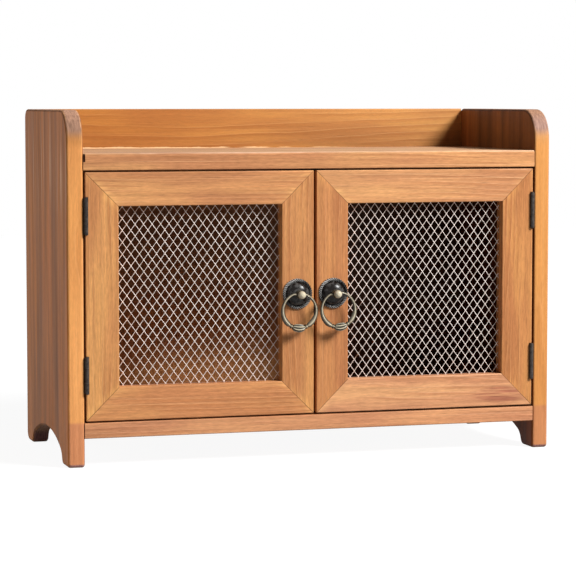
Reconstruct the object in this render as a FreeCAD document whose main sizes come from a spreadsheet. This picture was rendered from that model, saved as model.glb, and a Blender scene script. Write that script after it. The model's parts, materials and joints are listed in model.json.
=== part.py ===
import FreeCAD, Part
import math
import os
import Sketcher
from FreeCAD import Placement, Rotation, Vector

# Tabletop cabinet with two mesh doors, in millimetres.
# X runs across (the viewer's right is +), Y from the front to the back, Z up from the floor.
# The origin is the middle of the footprint on the floor, pulls included.
# Formulas that say "back" count from the cabinet's front face, because all front faces lie in one plane.
# The right-hand door, hinges and side are built, and the left-hand ones are their mirror images.

doc = FreeCAD.newDocument("mesh_door_cabinet")
sizes = doc.addObject("Spreadsheet::Sheet", "sizes")
places = doc.addObject("Spreadsheet::Sheet", "places")

DRIVING_SIZES = [
    # carcass
    ("cabinet_width", 400, "over both side panels"),
    ("cabinet_depth", 173, "of the side panels"),
    ("cabinet_height", 277, "floor to the top of the sides"),
    ("side_thickness", 13.2, "side panels"),
    ("shelf_thickness", 13.6, "top shelf, which is the tray's floor"),
    ("bottom_thickness", 12.2, "bottom board"),
    ("back_thickness", 5, "back panel"),
    ("foot_height", 22.5, "floor to the underside of the bottom board"),
    ("opening_height", 195.6, "bottom board to top shelf"),
    ("front_corner_radius", 24, "side panel, top front corner"),
    ("rear_corner_radius", 8, "side panel, rear corners"),
    ("side_arris", 2, "rounding along the side panel's edges"),
    ("board_arris", 1, "rounding along the other boards' front edges"),
    ("nosing_radius", 2.5, "rounding of the shelf's top front edge"),
    ("foot_length", 26, "each foot, along the floor"),
    ("arch_rise", 21.5, "arch between the feet"),
    ("arch_shoulder_radius", 12, "tight ends of the three-arc arch"),
    ("foot_toe_radius", 6, "inner bottom corner of each foot"),
    ("foot_front_radius", 3, "outer bottom corner of each front foot"),
    # hidden joinery
    ("dowel_diameter", 6, "beech dowels"),
    ("dowel_length", 20, "beech dowels"),
    ("dowel_in_side", 8, "how deep a dowel goes into the side"),
    ("dowel_inset", 28, "first and last dowel from the board's edges"),
    ("dowels_per_joint", 3, "dowels in each end of a board"),
    ("fit_clearance", 0.05, "radial, of every pin in its hole"),
    ("nail_diameter", 1.6, "back panel nails"),
    ("nail_length", 18, "back panel nails"),
    ("nail_head_diameter", 3.4, "back panel nails"),
    ("nail_head_depth", 0.8, "back panel nails"),
    ("nail_inset", 24, "first and last nail from the panel's sides"),
    ("nails_per_row", 5, "nails into the shelf, and into the bottom board"),
    # doors
    ("door_gap", 1.2, "between a door and the carcass"),
    ("meeting_gap", 2.2, "between the two doors"),
    ("door_thickness", 12, "rails and stiles"),
    ("frame_width", 26.4, "rails and stiles"),
    ("door_arris", 0.8, "rounding of the frame's front edges"),
    ("lip_thickness", 8, "frame in front of the mesh"),
    ("rebate_width", 6, "frame behind which the mesh lies"),
    ("mitre_nail_leg", 7, "L-shaped nail, each leg"),
    ("mitre_nail_thickness", 0.8, "L-shaped nail"),
    ("mitre_nail_depth", 7, "how deep it goes in from behind"),
    ("mitre_nail_inset", 11, "its corner from the door's edges"),
    ("mesh_thickness", 0.8, "expanded-metal sheet"),
    ("mesh_overlap", 3.5, "sheet hidden behind the frame"),
    ("mesh_border", 0.8, "solid rim of the sheet"),
    ("diamond_width", 6.9, "mesh pitch across"),
    ("diamond_height", 9.35, "mesh pitch up"),
    ("strand_width", 0.9, "mesh strands"),
    ("bead_pin_diameter", 1, "pins of the mesh beads"),
    ("bead_pin_length", 8, "pins of the mesh beads"),
    ("bead_pin_inset", 4.8, "pin from the edge of the sight opening"),
    # hinges
    ("hinge_length", 28, "three knuckles"),
    ("middle_knuckle", 12, "the door leaf's knuckle and its end play"),
    ("knuckle_play", 0.1, "each end of the middle knuckle"),
    ("upper_hinge_inset", 19.7, "upper hinge from the door's top"),
    ("lower_hinge_inset", 22, "lower hinge from the door's bottom"),
    ("leaf_thickness", 0.8, "hinge leaves"),
    ("leaf_depth", 10, "hinge leaves, back from the front face"),
    ("barrel_diameter", 3.1, "hinge knuckles"),
    ("barrel_from_side", 1.9, "hinge axis from the side panel"),
    ("barrel_proud", 0.9, "hinge axis in front of the door"),
    ("swing_clearance", 0.2, "round the knuckles"),
    ("notch_end_gap", 0.8, "door's notch beyond each end of the knuckles"),
    ("hinge_pin_diameter", 1.6, "hinge pin"),
    ("pin_head_diameter", 2.6, "hinge pin"),
    ("pin_head_depth", 0.6, "hinge pin"),
    ("hinge_screw_spacing", 16, "two screws in each leaf"),
    ("hinge_screw_back", 6, "screws from the front face"),
    # small screws
    ("screw_diameter", 1.8, "countersunk screws"),
    ("screw_head_diameter", 3.6, "countersunk screws"),
    ("screw_head_depth", 0.9, "countersunk screws"),
    ("screw_length", 8, "countersunk screws"),
    # pulls
    ("pull_from_edge", 13.8, "pull from the door's meeting edge"),
    ("pull_drop", 1, "pull below the door's middle"),
    ("rose_diameter", 24.6, "milled rose"),
    ("rim_height", 1.8, "rose, over its rim"),
    ("rim_width", 1.8, "rose, flat of its rim"),
    ("rim_rounding", 0.6, "rose, outer edge of its rim"),
    ("dish_width", 0.8, "rose, slope inside its rim"),
    ("dish_height", 1.1, "rose, between rim and dome"),
    ("dome_diameter", 18.4, "rose"),
    ("dome_height", 6, "rose"),
    ("dome_curve", 8.5, "radius of the dome's side"),
    ("rose_teeth", 40, "notches round the rim"),
    ("tooth_gap", 0.85, "width of a notch"),
    ("tooth_depth", 1.5, "notch, in from the rim's edge"),
    ("spigot_diameter", 5, "post inside the rose"),
    ("collar_diameter", 6.8, "post where it sits on the rose"),
    ("collar_height", 0.6, "post where it sits on the rose"),
    ("eye_height", 8.4, "ring pivot in front of the door"),
    ("eye_diameter", 6.8, "post round the ring's ends"),
    ("waist_diameter", 5.2, "post between eye and ball"),
    ("ball_diameter", 7, "post's tip"),
    ("ball_flat_diameter", 3.2, "flat on the ball"),
    ("pull_screw_diameter", 4, "machine screw from behind"),
    ("pull_screw_reach", 5.5, "how far it goes into the post"),
    ("pull_screw_head_diameter", 7.5, "pan head"),
    ("pull_screw_head_depth", 2.4, "pan head"),
    ("ring_radius", 12.75, "to the middle of the ring's wire"),
    ("ring_mouth", 10.4, "between the ring's bends"),
    ("ring_pin_diameter", 1.9, "ring's ends"),
    ("ring_bend_diameter", 2.2, "knuckle where the ring turns into its ends"),
    ("ring_end_gap", 2, "between the ends inside the eye"),
    ("ring_side_diameter", 3.7, "ring's thickest wire"),
    ("ring_neck_diameter", 2.8, "ring's wire beside the bead"),
    ("ring_collar_diameter", 4.2, "small beads beside the large one"),
    ("bead_diameter", 6.6, "bead at the ring's lowest point"),
    ("bead_end_diameter", 3, "its ends"),
    ("bead_length", 8.4, "across"),
    # catch
    ("catch_width", 48, "double magnetic catch"),
    ("catch_depth", 15, "its magnet box"),
    ("catch_height", 12, "its magnet box"),
    ("catch_gap", 0.2, "between magnets and strike plates"),
    ("catch_foot_depth", 10, "screw flange behind the box"),
    ("catch_foot_thickness", 3, "screw flange"),
    ("magnet_width", 12, "magnets"),
    ("magnet_depth", 5, "magnets"),
    ("magnet_height", 8, "magnets"),
    ("magnet_from_middle", 14, "magnets and strike plates"),
    ("strike_width", 18, "strike plates"),
    ("strike_height", 12, "strike plates"),
    ("strike_thickness", 1, "strike plates"),
    ("strike_drop", 2, "strike plate below the door's top"),
    ("strike_screw_spacing", 10, "two screws in each plate"),
]

DERIVED_PLACES = [
    ("inner_x", "sizes.cabinet_width / 2 - sizes.side_thickness"),
    ("inside_width", "2 * inner_x"),
    ("board_depth", "sizes.cabinet_depth - sizes.back_thickness"),
    ("opening_bottom", "sizes.foot_height + sizes.bottom_thickness"),
    ("opening_top", "opening_bottom + sizes.opening_height"),
    ("tray_floor", "opening_top + sizes.shelf_thickness"),
    ("arch_half", "sizes.cabinet_depth / 2 - sizes.foot_length"),
    ("arch_reach", "arch_half - sizes.arch_shoulder_radius"),
    (
        "crown_radius",
        "(arch_reach ^ 2 + sizes.arch_rise ^ 2 - sizes.arch_shoulder_radius ^ 2)"
        " / (2 * (sizes.arch_rise - sizes.arch_shoulder_radius))",
    ),
    ("crown_share", "crown_radius / (crown_radius - sizes.arch_shoulder_radius)"),
    ("crown_end", "arch_reach * crown_share"),
    ("shoulder_top", "(crown_radius - sizes.arch_rise) * (crown_share - 1)"),
    ("door_left", "sizes.meeting_gap / 2"),
    ("door_right", "inner_x - sizes.door_gap"),
    ("door_width", "door_right - door_left"),
    ("door_bottom", "opening_bottom + sizes.door_gap"),
    ("door_height", "sizes.opening_height - 2 * sizes.door_gap"),
    ("door_top", "door_bottom + door_height"),
    ("sight_width", "door_width - 2 * sizes.frame_width"),
    ("sight_height", "door_height - 2 * sizes.frame_width"),
    ("sight_left", "door_left + sizes.frame_width"),
    ("sight_bottom", "door_bottom + sizes.frame_width"),
    ("bead_thickness", "sizes.door_thickness - sizes.lip_thickness - sizes.mesh_thickness"),
    ("outer_knuckle", "(sizes.hinge_length - sizes.middle_knuckle) / 2"),
    ("hinge_x", "inner_x - sizes.barrel_from_side"),
    ("lower_hinge", "door_bottom + sizes.lower_hinge_inset"),
    ("upper_hinge", "door_top - sizes.upper_hinge_inset - sizes.hinge_length"),
    ("pull_x", "door_left + sizes.pull_from_edge"),
    ("pull_z", "door_bottom + door_height / 2 - sizes.pull_drop"),
    ("waist_height", "sizes.eye_height + sqrt(sizes.eye_diameter ^ 2 - sizes.waist_diameter ^ 2) / 2"),
    ("ball_height", "waist_height + sqrt(sizes.ball_diameter ^ 2 - sizes.waist_diameter ^ 2) / 2"),
    ("pull_projection", "ball_height + sqrt(sizes.ball_diameter ^ 2 - sizes.ball_flat_diameter ^ 2) / 2"),
    ("front_y", "(pull_projection - sizes.cabinet_depth) / 2"),
    ("collar_top", "sizes.dome_height + sizes.collar_height"),
    ("ring_drop", "sqrt(sizes.ring_radius ^ 2 - sizes.ring_mouth ^ 2 / 4)"),
    ("catch_front", "sizes.door_thickness + sizes.strike_thickness + sizes.catch_gap"),
]

for row, (alias, value, meaning) in enumerate(DRIVING_SIZES, start=1):
    sizes.set(f"A{row}", alias)
    sizes.set(f"B{row}", str(value))
    sizes.setAlias(f"B{row}", alias)
    sizes.set(f"C{row}", meaning)
doc.recompute()
for row, (alias, formula) in enumerate(DERIVED_PLACES, start=1):
    places.set(f"A{row}", alias)
    places.setAlias(f"B{row}", alias)
    places.set(f"B{row}", f"={formula}")
doc.recompute()

pieces = {}


# ---------------------------------------------------------------- helpers

HEADINGS = {
    "up": Rotation(),
    "right": Rotation(Vector(0, 1, 0), 90),
    "left": Rotation(Vector(0, 1, 0), -90),
    "back": Rotation(Vector(1, 0, 0), -90),
    "front": Rotation(Vector(1, 0, 0), 90),
}


def number(formula):
    """What a formula comes to now."""
    return float(places.evalExpression(formula))


def bind(item, **formulas):
    """Ties properties of an item to formulas."""
    for name, formula in formulas.items():
        item.setExpression(name, formula)
    return item


def put(item, across, back, up):
    """Ties an item's place to formulas."""
    item.setExpression("Placement.Base.x", across)
    item.setExpression("Placement.Base.y", f"places.front_y + ({back})")
    item.setExpression("Placement.Base.z", up)
    return item


def keep(label, item):
    """Makes an item one of the cabinet's pieces."""
    item.Label = label
    pieces[label] = item
    return item


def block(name, size, corner):
    """A box with its lowest corner at a place."""
    item = doc.addObject("Part::Box", name)
    bind(item, Length=size[0], Width=size[1], Height=size[2])
    return put(item, *corner)


def rod(name, diameter, length, heading, start):
    """A cylinder that leaves a place in the direction of a heading."""
    item = doc.addObject("Part::Cylinder", name)
    item.Placement = Placement(Vector(), HEADINGS[heading])
    bind(item, Radius=f"({diameter}) / 2", Height=length)
    return put(item, *start)


def taper(name, wide, narrow, length, heading, start):
    """A cone frustum that leaves a place in the direction of a heading, wide end first."""
    item = doc.addObject("Part::Cone", name)
    item.Placement = Placement(Vector(), HEADINGS[heading])
    bind(item, Radius1=f"({wide}) / 2", Radius2=f"({narrow}) / 2", Height=length)
    return put(item, *start)


def joined(name, items):
    """One item out of several that touch or overlap."""
    item = doc.addObject("Part::MultiFuse", name)
    item.Shapes = items
    return item


def together(name, items):
    """Separate solids held as one group."""
    item = doc.addObject("Part::Compound", name)
    item.Links = items
    return item


def machined(name, stock, cutters):
    """The stock with holes, slots and rebates cut into it."""
    item = doc.addObject("Part::Cut", name)
    item.Base = stock
    item.Tool = cutters[0] if len(cutters) == 1 else joined(f"{name}_cutters", cutters)
    return item


def spread(first, last, count):
    """Evenly spaced formulas from the first to the last."""
    gaps = count - 1
    return [f"({first}) + (({last}) - ({first})) * {i} / {gaps}" for i in range(count)]


def nail(name, shank, head, length, head_depth, heading, start, slack="0"):
    """A flat-headed nail; with slack, the hole that it goes into."""
    play = f"2 * ({slack})"
    shaft = rod(f"{name}_shank", f"{shank} + {play}", length, heading, start)
    top = rod(f"{name}_head", f"{head} + {play}", head_depth, heading, start)
    return joined(name, [shaft, top])


def screw(name, heading, start, slack="0"):
    """A countersunk screw whose head ends at a face; with slack, the hole that it goes into."""
    play = f"2 * ({slack})"
    shank = f"sizes.screw_diameter + {play}"
    head = f"sizes.screw_head_diameter + {play}"
    shaft = rod(f"{name}_shank", shank, "sizes.screw_length", heading, start)
    top = taper(f"{name}_head", head, shank, "sizes.screw_head_depth", heading, start)
    return joined(name, [shaft, top])


def screws_and_holes(name, heading, starts):
    """A group of countersunk screws, and a second one of the holes for them."""
    solid = [screw(f"{name}_{i}", heading, start) for i, start in enumerate(starts)]
    holes = [
        screw(f"{name}_hole_{i}", heading, start, "sizes.fit_clearance")
        for i, start in enumerate(starts)
    ]
    return solid, holes


def origin_plane(body, role):
    return next(o for o in body.Origin.OriginFeatures if o.Role == role)


def new_sketch(body, name, role):
    """An empty sketch on one of the body's own planes."""
    sketch = body.newObject("Sketcher::SketchObject", name)
    sketch.AttachmentSupport = [(origin_plane(body, role), "")]
    sketch.MapMode = "FlatFace"
    return sketch


def arc_between(start, end, radius, turn):
    """The short arc from start to end; turn is 1 anticlockwise and -1 clockwise."""
    chord = end - start
    rise = math.sqrt(max(radius**2 - chord.Length**2 / 4, 0))
    side = Vector(-chord.y, chord.x, 0).normalize() * turn
    centre = (start + end) / 2 + side * rise
    first, last = (start, end) if turn > 0 else (end, start)
    angles = [math.atan2(p.y - centre.y, p.x - centre.x) for p in (first, last)]
    if angles[1] < angles[0]:
        angles[1] += 2 * math.pi
    return Part.ArcOfCircle(Part.Circle(centre, Vector(0, 0, 1), radius), *angles)


def outline(body, name, role, corners):
    """A closed sketch. A corner is (u, v), or (u, v, radius, turn) at the end of an arc.

    Every corner and radius is a constraint tied to its formula.
    """
    sketch = new_sketch(body, name, role)
    spots = [Vector(number(c[0]), number(c[1]), 0) for c in corners]
    starts, ends = [], []
    for i, corner in enumerate(corners):
        begin, finish = spots[i - 1], spots[i]
        if len(corner) == 4:
            sketch.addGeometry(arc_between(begin, finish, number(corner[2]), corner[3]), False)
            forward = corner[3] > 0
        else:
            sketch.addGeometry(Part.LineSegment(begin, finish), False)
            forward = True
        starts.append((i, 1 if forward else 2))
        ends.append((i, 2 if forward else 1))
    for i, corner in enumerate(corners):
        following = starts[(i + 1) % len(corners)]
        sketch.addConstraint(Sketcher.Constraint("Coincident", *ends[i], *following))
        tied = [("DistanceX", corner[0]), ("DistanceY", corner[1])]
        for kind, formula in tied:
            limit = Sketcher.Constraint(kind, -1, 1, *ends[i], number(formula))
            sketch.setExpression(f"Constraints[{sketch.addConstraint(limit)}]", formula)
        if len(corner) == 4:
            limit = Sketcher.Constraint("Radius", i, number(corner[2]))
            sketch.setExpression(f"Constraints[{sketch.addConstraint(limit)}]", corner[2])
    doc.recompute()
    return sketch


def pad(body, name, sketch, length, backwards=False):
    feature = body.newObject("PartDesign::Pad", name)
    feature.Profile = sketch
    feature.Reversed = backwards
    bind(feature, Length=length)
    doc.recompute()
    return feature


def pocket(body, name, sketch):
    """A pocket that goes through the body both ways."""
    before = body.Tip.Shape.Volume
    feature = body.newObject("PartDesign::Pocket", name)
    feature.Profile = sketch
    feature.Type = "ThroughAll"
    feature.Midplane = True
    doc.recompute()
    if feature.Shape.Volume >= before:
        raise RuntimeError(f"{name} cuts nothing")
    return feature


def revolution(body, name, sketch):
    feature = body.newObject("PartDesign::Revolution", name)
    feature.Profile = sketch
    feature.ReferenceAxis = (sketch, ["V_Axis"])
    feature.Angle = 360
    doc.recompute()
    return feature


def fillet(body, name, radius, wanted):
    """Rounds every edge of the body that wanted(edge) picks."""
    base = body.Tip
    edges = [f"Edge{i}" for i, e in enumerate(base.Shape.Edges, start=1) if wanted(e)]
    if not edges:
        raise RuntimeError(f"{name} finds no edge")
    feature = body.newObject("PartDesign::Fillet", name)
    feature.Base = (base, edges)
    bind(feature, Radius=radius)
    doc.recompute()
    return feature


def near(a, b):
    return abs(a - b) < 1e-4


def edge_at(**where):
    """Picks edges whose every point has the given coordinates, such as edge_at(y=0, z=5)."""

    def wanted(edge):
        box = edge.BoundBox
        limits = {"x": (box.XMin, box.XMax), "y": (box.YMin, box.YMax), "z": (box.ZMin, box.ZMax)}
        return all(near(low, v) and near(high, v) for a, v in where.items() for low, high in [limits[a]])

    return wanted


def any_of(*tests):
    return lambda edge: any(test(edge) for test in tests)


def new_body(name, across, back, up):
    return put(doc.addObject("PartDesign::Body", name), across, back, up)


def board(name, size, corner, roundings):
    """A board with its lowest corner at a place. roundings are (radius, test for edges)."""
    body = new_body(name, *corner)
    corners = [("0", "0"), (size[0], "0"), (size[0], size[1]), ("0", size[1])]
    pad(body, f"{name}_pad", outline(body, f"{name}_outline", "XY_Plane", corners), size[2])
    for i, (radius, wanted) in enumerate(roundings):
        fillet(body, f"{name}_rounding_{i}", radius, wanted)
    return body


# ---------------------------------------------------------------- carcass joinery

INNER_X = "places.inner_x"
DEPTH = "sizes.cabinet_depth"
HEIGHT = "sizes.cabinet_height"


def dowel_row(name, middle):
    """Dowels in both ends of a board, and the holes for them."""
    last = "places.board_depth - sizes.dowel_inset"
    rows = spread("sizes.dowel_inset", last, int(number("sizes.dowels_per_joint")))
    start = f"{INNER_X} + sizes.dowel_in_side"
    ends = {"left": start, "right": f"-({start})"}
    solid, holes = [], []
    for heading, across in ends.items():
        for i, back in enumerate(rows):
            where = (across, back, middle)
            tag = f"{name}_{heading}_{i}"
            solid.append(rod(tag, "sizes.dowel_diameter", "sizes.dowel_length", heading, where))
            loose = "sizes.dowel_diameter + 2 * sizes.fit_clearance"
            holes.append(rod(f"{tag}_hole", loose, "sizes.dowel_length", heading, where))
    keep(name, together(name, solid))
    return together(f"{name}_holes", holes)


def nail_row(name, up):
    """Nails through the back panel, and the holes for them."""
    edge = f"{INNER_X} - sizes.nail_inset"
    solid, holes = [], []
    for i, across in enumerate(spread(f"-({edge})", edge, int(number("sizes.nails_per_row")))):
        common = [
            "sizes.nail_diameter",
            "sizes.nail_head_diameter",
            "sizes.nail_length",
            "sizes.nail_head_depth",
            "front",
            (across, DEPTH, up),
        ]
        solid.append(nail(f"{name}_{i}", *common))
        holes.append(nail(f"{name}_hole_{i}", *common, "sizes.fit_clearance"))
    return solid, holes


shelf_middle = "places.opening_top + sizes.shelf_thickness / 2"
bottom_middle = "sizes.foot_height + sizes.bottom_thickness / 2"
shelf_dowel_holes = dowel_row("shelf_dowels", shelf_middle)
bottom_dowel_holes = dowel_row("bottom_dowels", bottom_middle)
shelf_nails, shelf_nail_holes = nail_row("shelf_nail", shelf_middle)
bottom_nails, bottom_nail_holes = nail_row("bottom_nail", bottom_middle)
keep("back_panel_nails", together("back_panel_nails", shelf_nails + bottom_nails))


# ---------------------------------------------------------------- hinges

HINGES = {"upper": "places.upper_hinge", "lower": "places.lower_hinge"}
AXIS_X = "places.hinge_x"
AXIS_BACK = "-sizes.barrel_proud"
LEAF = "sizes.leaf_thickness"
LENGTH = "sizes.hinge_length"
OUTER = "places.outer_knuckle"


def hinge_screw_starts(across, bottom):
    middle = f"{bottom} + {LENGTH} / 2"
    half = "sizes.hinge_screw_spacing / 2"
    return [(across, "sizes.hinge_screw_back", f"{middle} {sign} {half}") for sign in "+-"]


def knuckle(name, diameter, length, up):
    return rod(name, diameter, length, "up", (AXIS_X, AXIS_BACK, up))


def hinge(level, bottom):
    """Makes one right-hand hinge, and returns what the side panel and the door need for it."""
    barrel = "sizes.barrel_diameter"
    swing = "sizes.barrel_diameter + 2 * sizes.swing_clearance"
    leaf_size = (LEAF, "sizes.leaf_depth + sizes.barrel_proud", LENGTH)
    bore_size = "sizes.hinge_pin_diameter + 2 * sizes.fit_clearance"
    bore = knuckle(f"{level}_bore", bore_size, LENGTH, bottom)

    carcass_face = f"{INNER_X} - {LEAF}"
    carcass_screws, carcass_holes = screws_and_holes(
        f"{level}_carcass_screw", "right", hinge_screw_starts(carcass_face, bottom)
    )
    carcass_stock = joined(
        f"{level}_carcass_leaf_stock",
        [
            block(f"{level}_carcass_plate", leaf_size, (carcass_face, AXIS_BACK, bottom)),
            knuckle(f"{level}_bottom_knuckle", barrel, OUTER, bottom),
            knuckle(f"{level}_top_knuckle", barrel, OUTER, f"{bottom} + {LENGTH} - {OUTER}"),
        ],
    )
    middle_room = knuckle(
        f"{level}_middle_room", swing, "sizes.middle_knuckle", f"{bottom} + {OUTER}"
    )
    carcass_leaf = machined(
        f"right_{level}_carcass_leaf", carcass_stock, [bore, middle_room] + carcass_holes
    )
    keep(f"right_{level}_carcass_leaf", carcass_leaf)

    door_face = f"places.door_right - {LEAF}"
    door_screws, door_holes = screws_and_holes(
        f"{level}_door_screw", "left", hinge_screw_starts("places.door_right", bottom)
    )
    door_stock = joined(
        f"{level}_door_leaf_stock",
        [
            block(f"{level}_door_plate", leaf_size, (door_face, AXIS_BACK, bottom)),
            knuckle(
                f"{level}_middle_knuckle",
                barrel,
                "sizes.middle_knuckle - 2 * sizes.knuckle_play",
                f"{bottom} + {OUTER} + sizes.knuckle_play",
            ),
        ],
    )
    room_length = f"{OUTER} + sizes.knuckle_play"
    end_rooms = [
        knuckle(f"{level}_bottom_room", swing, room_length, bottom),
        knuckle(f"{level}_top_room", swing, room_length, f"{bottom} + {LENGTH} - ({room_length})"),
    ]
    door_leaf = machined(
        f"right_{level}_door_leaf", door_stock, [bore] + end_rooms + door_holes
    )
    keep(f"right_{level}_door_leaf", door_leaf)

    head = ("sizes.pin_head_diameter", "sizes.pin_head_depth")
    pin = joined(
        f"right_{level}_hinge_pin",
        [
            knuckle(f"{level}_pin_shaft", "sizes.hinge_pin_diameter", LENGTH, bottom),
            knuckle(f"{level}_pin_foot", *head, f"{bottom} - sizes.pin_head_depth"),
            knuckle(f"{level}_pin_head", *head, f"{bottom} + {LENGTH}"),
        ],
    )
    keep(f"right_{level}_hinge_pin", pin)

    mortise = block(
        f"{level}_leaf_mortise",
        (LEAF, "sizes.leaf_depth", LENGTH),
        (door_face, "0", bottom),
    )
    notch_reach = "sizes.barrel_diameter / 2 + sizes.swing_clearance"
    notch = block(
        f"{level}_knuckle_notch",
        (
            f"places.door_right - {AXIS_X} + {notch_reach}",
            f"{notch_reach} - sizes.barrel_proud",
            f"{LENGTH} + 2 * sizes.notch_end_gap",
        ),
        (f"{AXIS_X} - ({notch_reach})", "0", f"{bottom} - sizes.notch_end_gap"),
    )
    return carcass_screws, carcass_holes, door_screws, door_holes + [mortise, notch]


carcass_hinge_screws, carcass_hinge_holes = [], []
door_hinge_screws, door_hinge_cuts = [], []
for level, bottom in HINGES.items():
    made = hinge(level, bottom)
    carcass_hinge_screws += made[0]
    carcass_hinge_holes += made[1]
    door_hinge_screws += made[2]
    door_hinge_cuts += made[3]
keep("right_carcass_hinge_screws", together("right_carcass_hinge_screws", carcass_hinge_screws))
keep("right_door_hinge_screws", together("right_door_hinge_screws", door_hinge_screws))


# ---------------------------------------------------------------- carcass boards


def side_panel():
    """The right side: a rounded board whose lower edge is cut away between two feet."""
    body = new_body("side_stock", INNER_X, "0", "0")
    corners = [("0", "0"), (DEPTH, "0"), (DEPTH, HEIGHT), ("0", HEIGHT)]
    pad(body, "side_pad", outline(body, "side_outline", "YZ_Plane", corners), "sizes.side_thickness")

    middle = f"{DEPTH} / 2"
    shoulder = "sizes.arch_shoulder_radius"
    arch = [
        ("sizes.foot_length", "0"),
        (f"{middle} - places.crown_end", "places.shoulder_top", shoulder, -1),
        (f"{middle} + places.crown_end", "places.shoulder_top", "places.crown_radius", -1),
        (f"{DEPTH} - sizes.foot_length", "0", shoulder, -1),
    ]
    pocket(body, "arch", outline(body, "arch_outline", "YZ_Plane", arch))

    depth, height, foot = number(DEPTH), number(HEIGHT), number("sizes.foot_length")
    fillet(body, "front_corner", "sizes.front_corner_radius", edge_at(y=0, z=height))
    rear = any_of(edge_at(y=depth, z=height), edge_at(y=depth, z=0))
    fillet(body, "rear_corners", "sizes.rear_corner_radius", rear)
    toes = any_of(edge_at(y=foot, z=0), edge_at(y=depth - foot, z=0))
    fillet(body, "toes", "sizes.foot_toe_radius", toes)
    fillet(body, "front_feet", "sizes.foot_front_radius", edge_at(y=0, z=0))
    faces = any_of(edge_at(x=0), edge_at(x=number("sizes.side_thickness")))
    fillet(body, "side_arris", "sizes.side_arris", faces)
    return body


keep(
    "right_side_panel",
    machined(
        "right_side_panel",
        side_panel(),
        [shelf_dowel_holes, bottom_dowel_holes] + carcass_hinge_holes,
    ),
)

board_size = ("places.inside_width", "places.board_depth")
shelf_stock = board(
    "shelf_stock",
    (*board_size, "sizes.shelf_thickness"),
    (f"-({INNER_X})", "0", "places.opening_top"),
    [
        ("sizes.nosing_radius", edge_at(y=0, z=number("sizes.shelf_thickness"))),
        ("sizes.board_arris", edge_at(y=0, z=0)),
    ],
)
bottom_stock = board(
    "bottom_stock",
    (*board_size, "sizes.bottom_thickness"),
    (f"-({INNER_X})", "0", "sizes.foot_height"),
    [
        (
            "sizes.board_arris",
            any_of(edge_at(y=0, z=0), edge_at(y=0, z=number("sizes.bottom_thickness"))),
        )
    ],
)
back_height = f"{HEIGHT} - sizes.foot_height"
back_stock = board(
    "back_stock",
    ("places.inside_width", "sizes.back_thickness", back_height),
    (f"-({INNER_X})", "places.board_depth", "sizes.foot_height"),
    [("sizes.board_arris", edge_at(y=0, z=number(back_height)))],
)


# ---------------------------------------------------------------- magnetic catch

catch_bottom = "places.opening_top - sizes.catch_height"
catch_box = block(
    "catch_box",
    ("sizes.catch_width", "sizes.catch_depth", "sizes.catch_height"),
    ("-sizes.catch_width / 2", "places.catch_front", catch_bottom),
)
foot_bottom = "places.opening_top - sizes.catch_foot_thickness"
foot_front = "places.catch_front + sizes.catch_depth"
catch_foot = block(
    "catch_foot",
    ("sizes.catch_width", "sizes.catch_foot_depth", "sizes.catch_foot_thickness"),
    ("-sizes.catch_width / 2", foot_front, foot_bottom),
)
magnet_size = ("sizes.magnet_width", "sizes.magnet_depth", "sizes.magnet_height")
magnet_bottom = f"{catch_bottom} + (sizes.catch_height - sizes.magnet_height) / 2"
magnets = []
catch_screw_starts = []
for sign in ("-", ""):
    middle = f"{sign}sizes.magnet_from_middle"
    corner = (f"{middle} - sizes.magnet_width / 2", "places.catch_front", magnet_bottom)
    magnets.append(block("magnet", magnet_size, corner))
    catch_screw_starts.append((middle, f"{foot_front} + sizes.catch_foot_depth / 2", foot_bottom))
keep("catch_magnets", together("catch_magnets", magnets))
catch_screws, catch_screw_holes = screws_and_holes("catch_screw", "up", catch_screw_starts)
keep("catch_screws", together("catch_screws", catch_screws))
keep(
    "catch_housing",
    machined(
        "catch_housing",
        joined("catch_stock", [catch_box, catch_foot]),
        magnets + catch_screw_holes,
    ),
)

shelf_cuts = [shelf_dowel_holes] + shelf_nail_holes + catch_screw_holes
keep("top_shelf", machined("top_shelf", shelf_stock, shelf_cuts))
keep("bottom_board", machined("bottom_board", bottom_stock, [bottom_dowel_holes] + bottom_nail_holes))
keep("back_panel", machined("back_panel", back_stock, shelf_nail_holes + bottom_nail_holes))


# ---------------------------------------------------------------- door frame, right-hand

WIDE = "places.door_width"
TALL = "places.door_height"
FRAME = "sizes.frame_width"
MEMBERS = {
    "top_rail": [("0", TALL), (FRAME, f"{TALL} - {FRAME}"), (f"{WIDE} - {FRAME}", f"{TALL} - {FRAME}"), (WIDE, TALL)],
    "bottom_rail": [("0", "0"), (WIDE, "0"), (f"{WIDE} - {FRAME}", FRAME), (FRAME, FRAME)],
    "lock_stile": [("0", "0"), (FRAME, FRAME), (FRAME, f"{TALL} - {FRAME}"), ("0", TALL)],
    "hinge_stile": [
        (WIDE, "0"),
        (WIDE, TALL),
        (f"{WIDE} - {FRAME}", f"{TALL} - {FRAME}"),
        (f"{WIDE} - {FRAME}", FRAME),
    ],
}


def frame_member(name, corners):
    """A mitred rail or stile with rounded front edges."""
    body = new_body(f"{name}_stock", "places.door_left", "0", "places.door_bottom")
    sketch = outline(body, f"{name}_outline", "XZ_Plane", corners)
    pad(body, f"{name}_pad", sketch, "sizes.door_thickness", backwards=True)

    def along_front(edge):
        box = edge.BoundBox
        straight = near(box.XMin, box.XMax) or near(box.ZMin, box.ZMax)
        return straight and edge_at(y=0)(edge)

    fillet(body, f"{name}_arris", "sizes.door_arris", along_front)
    return body


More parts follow.
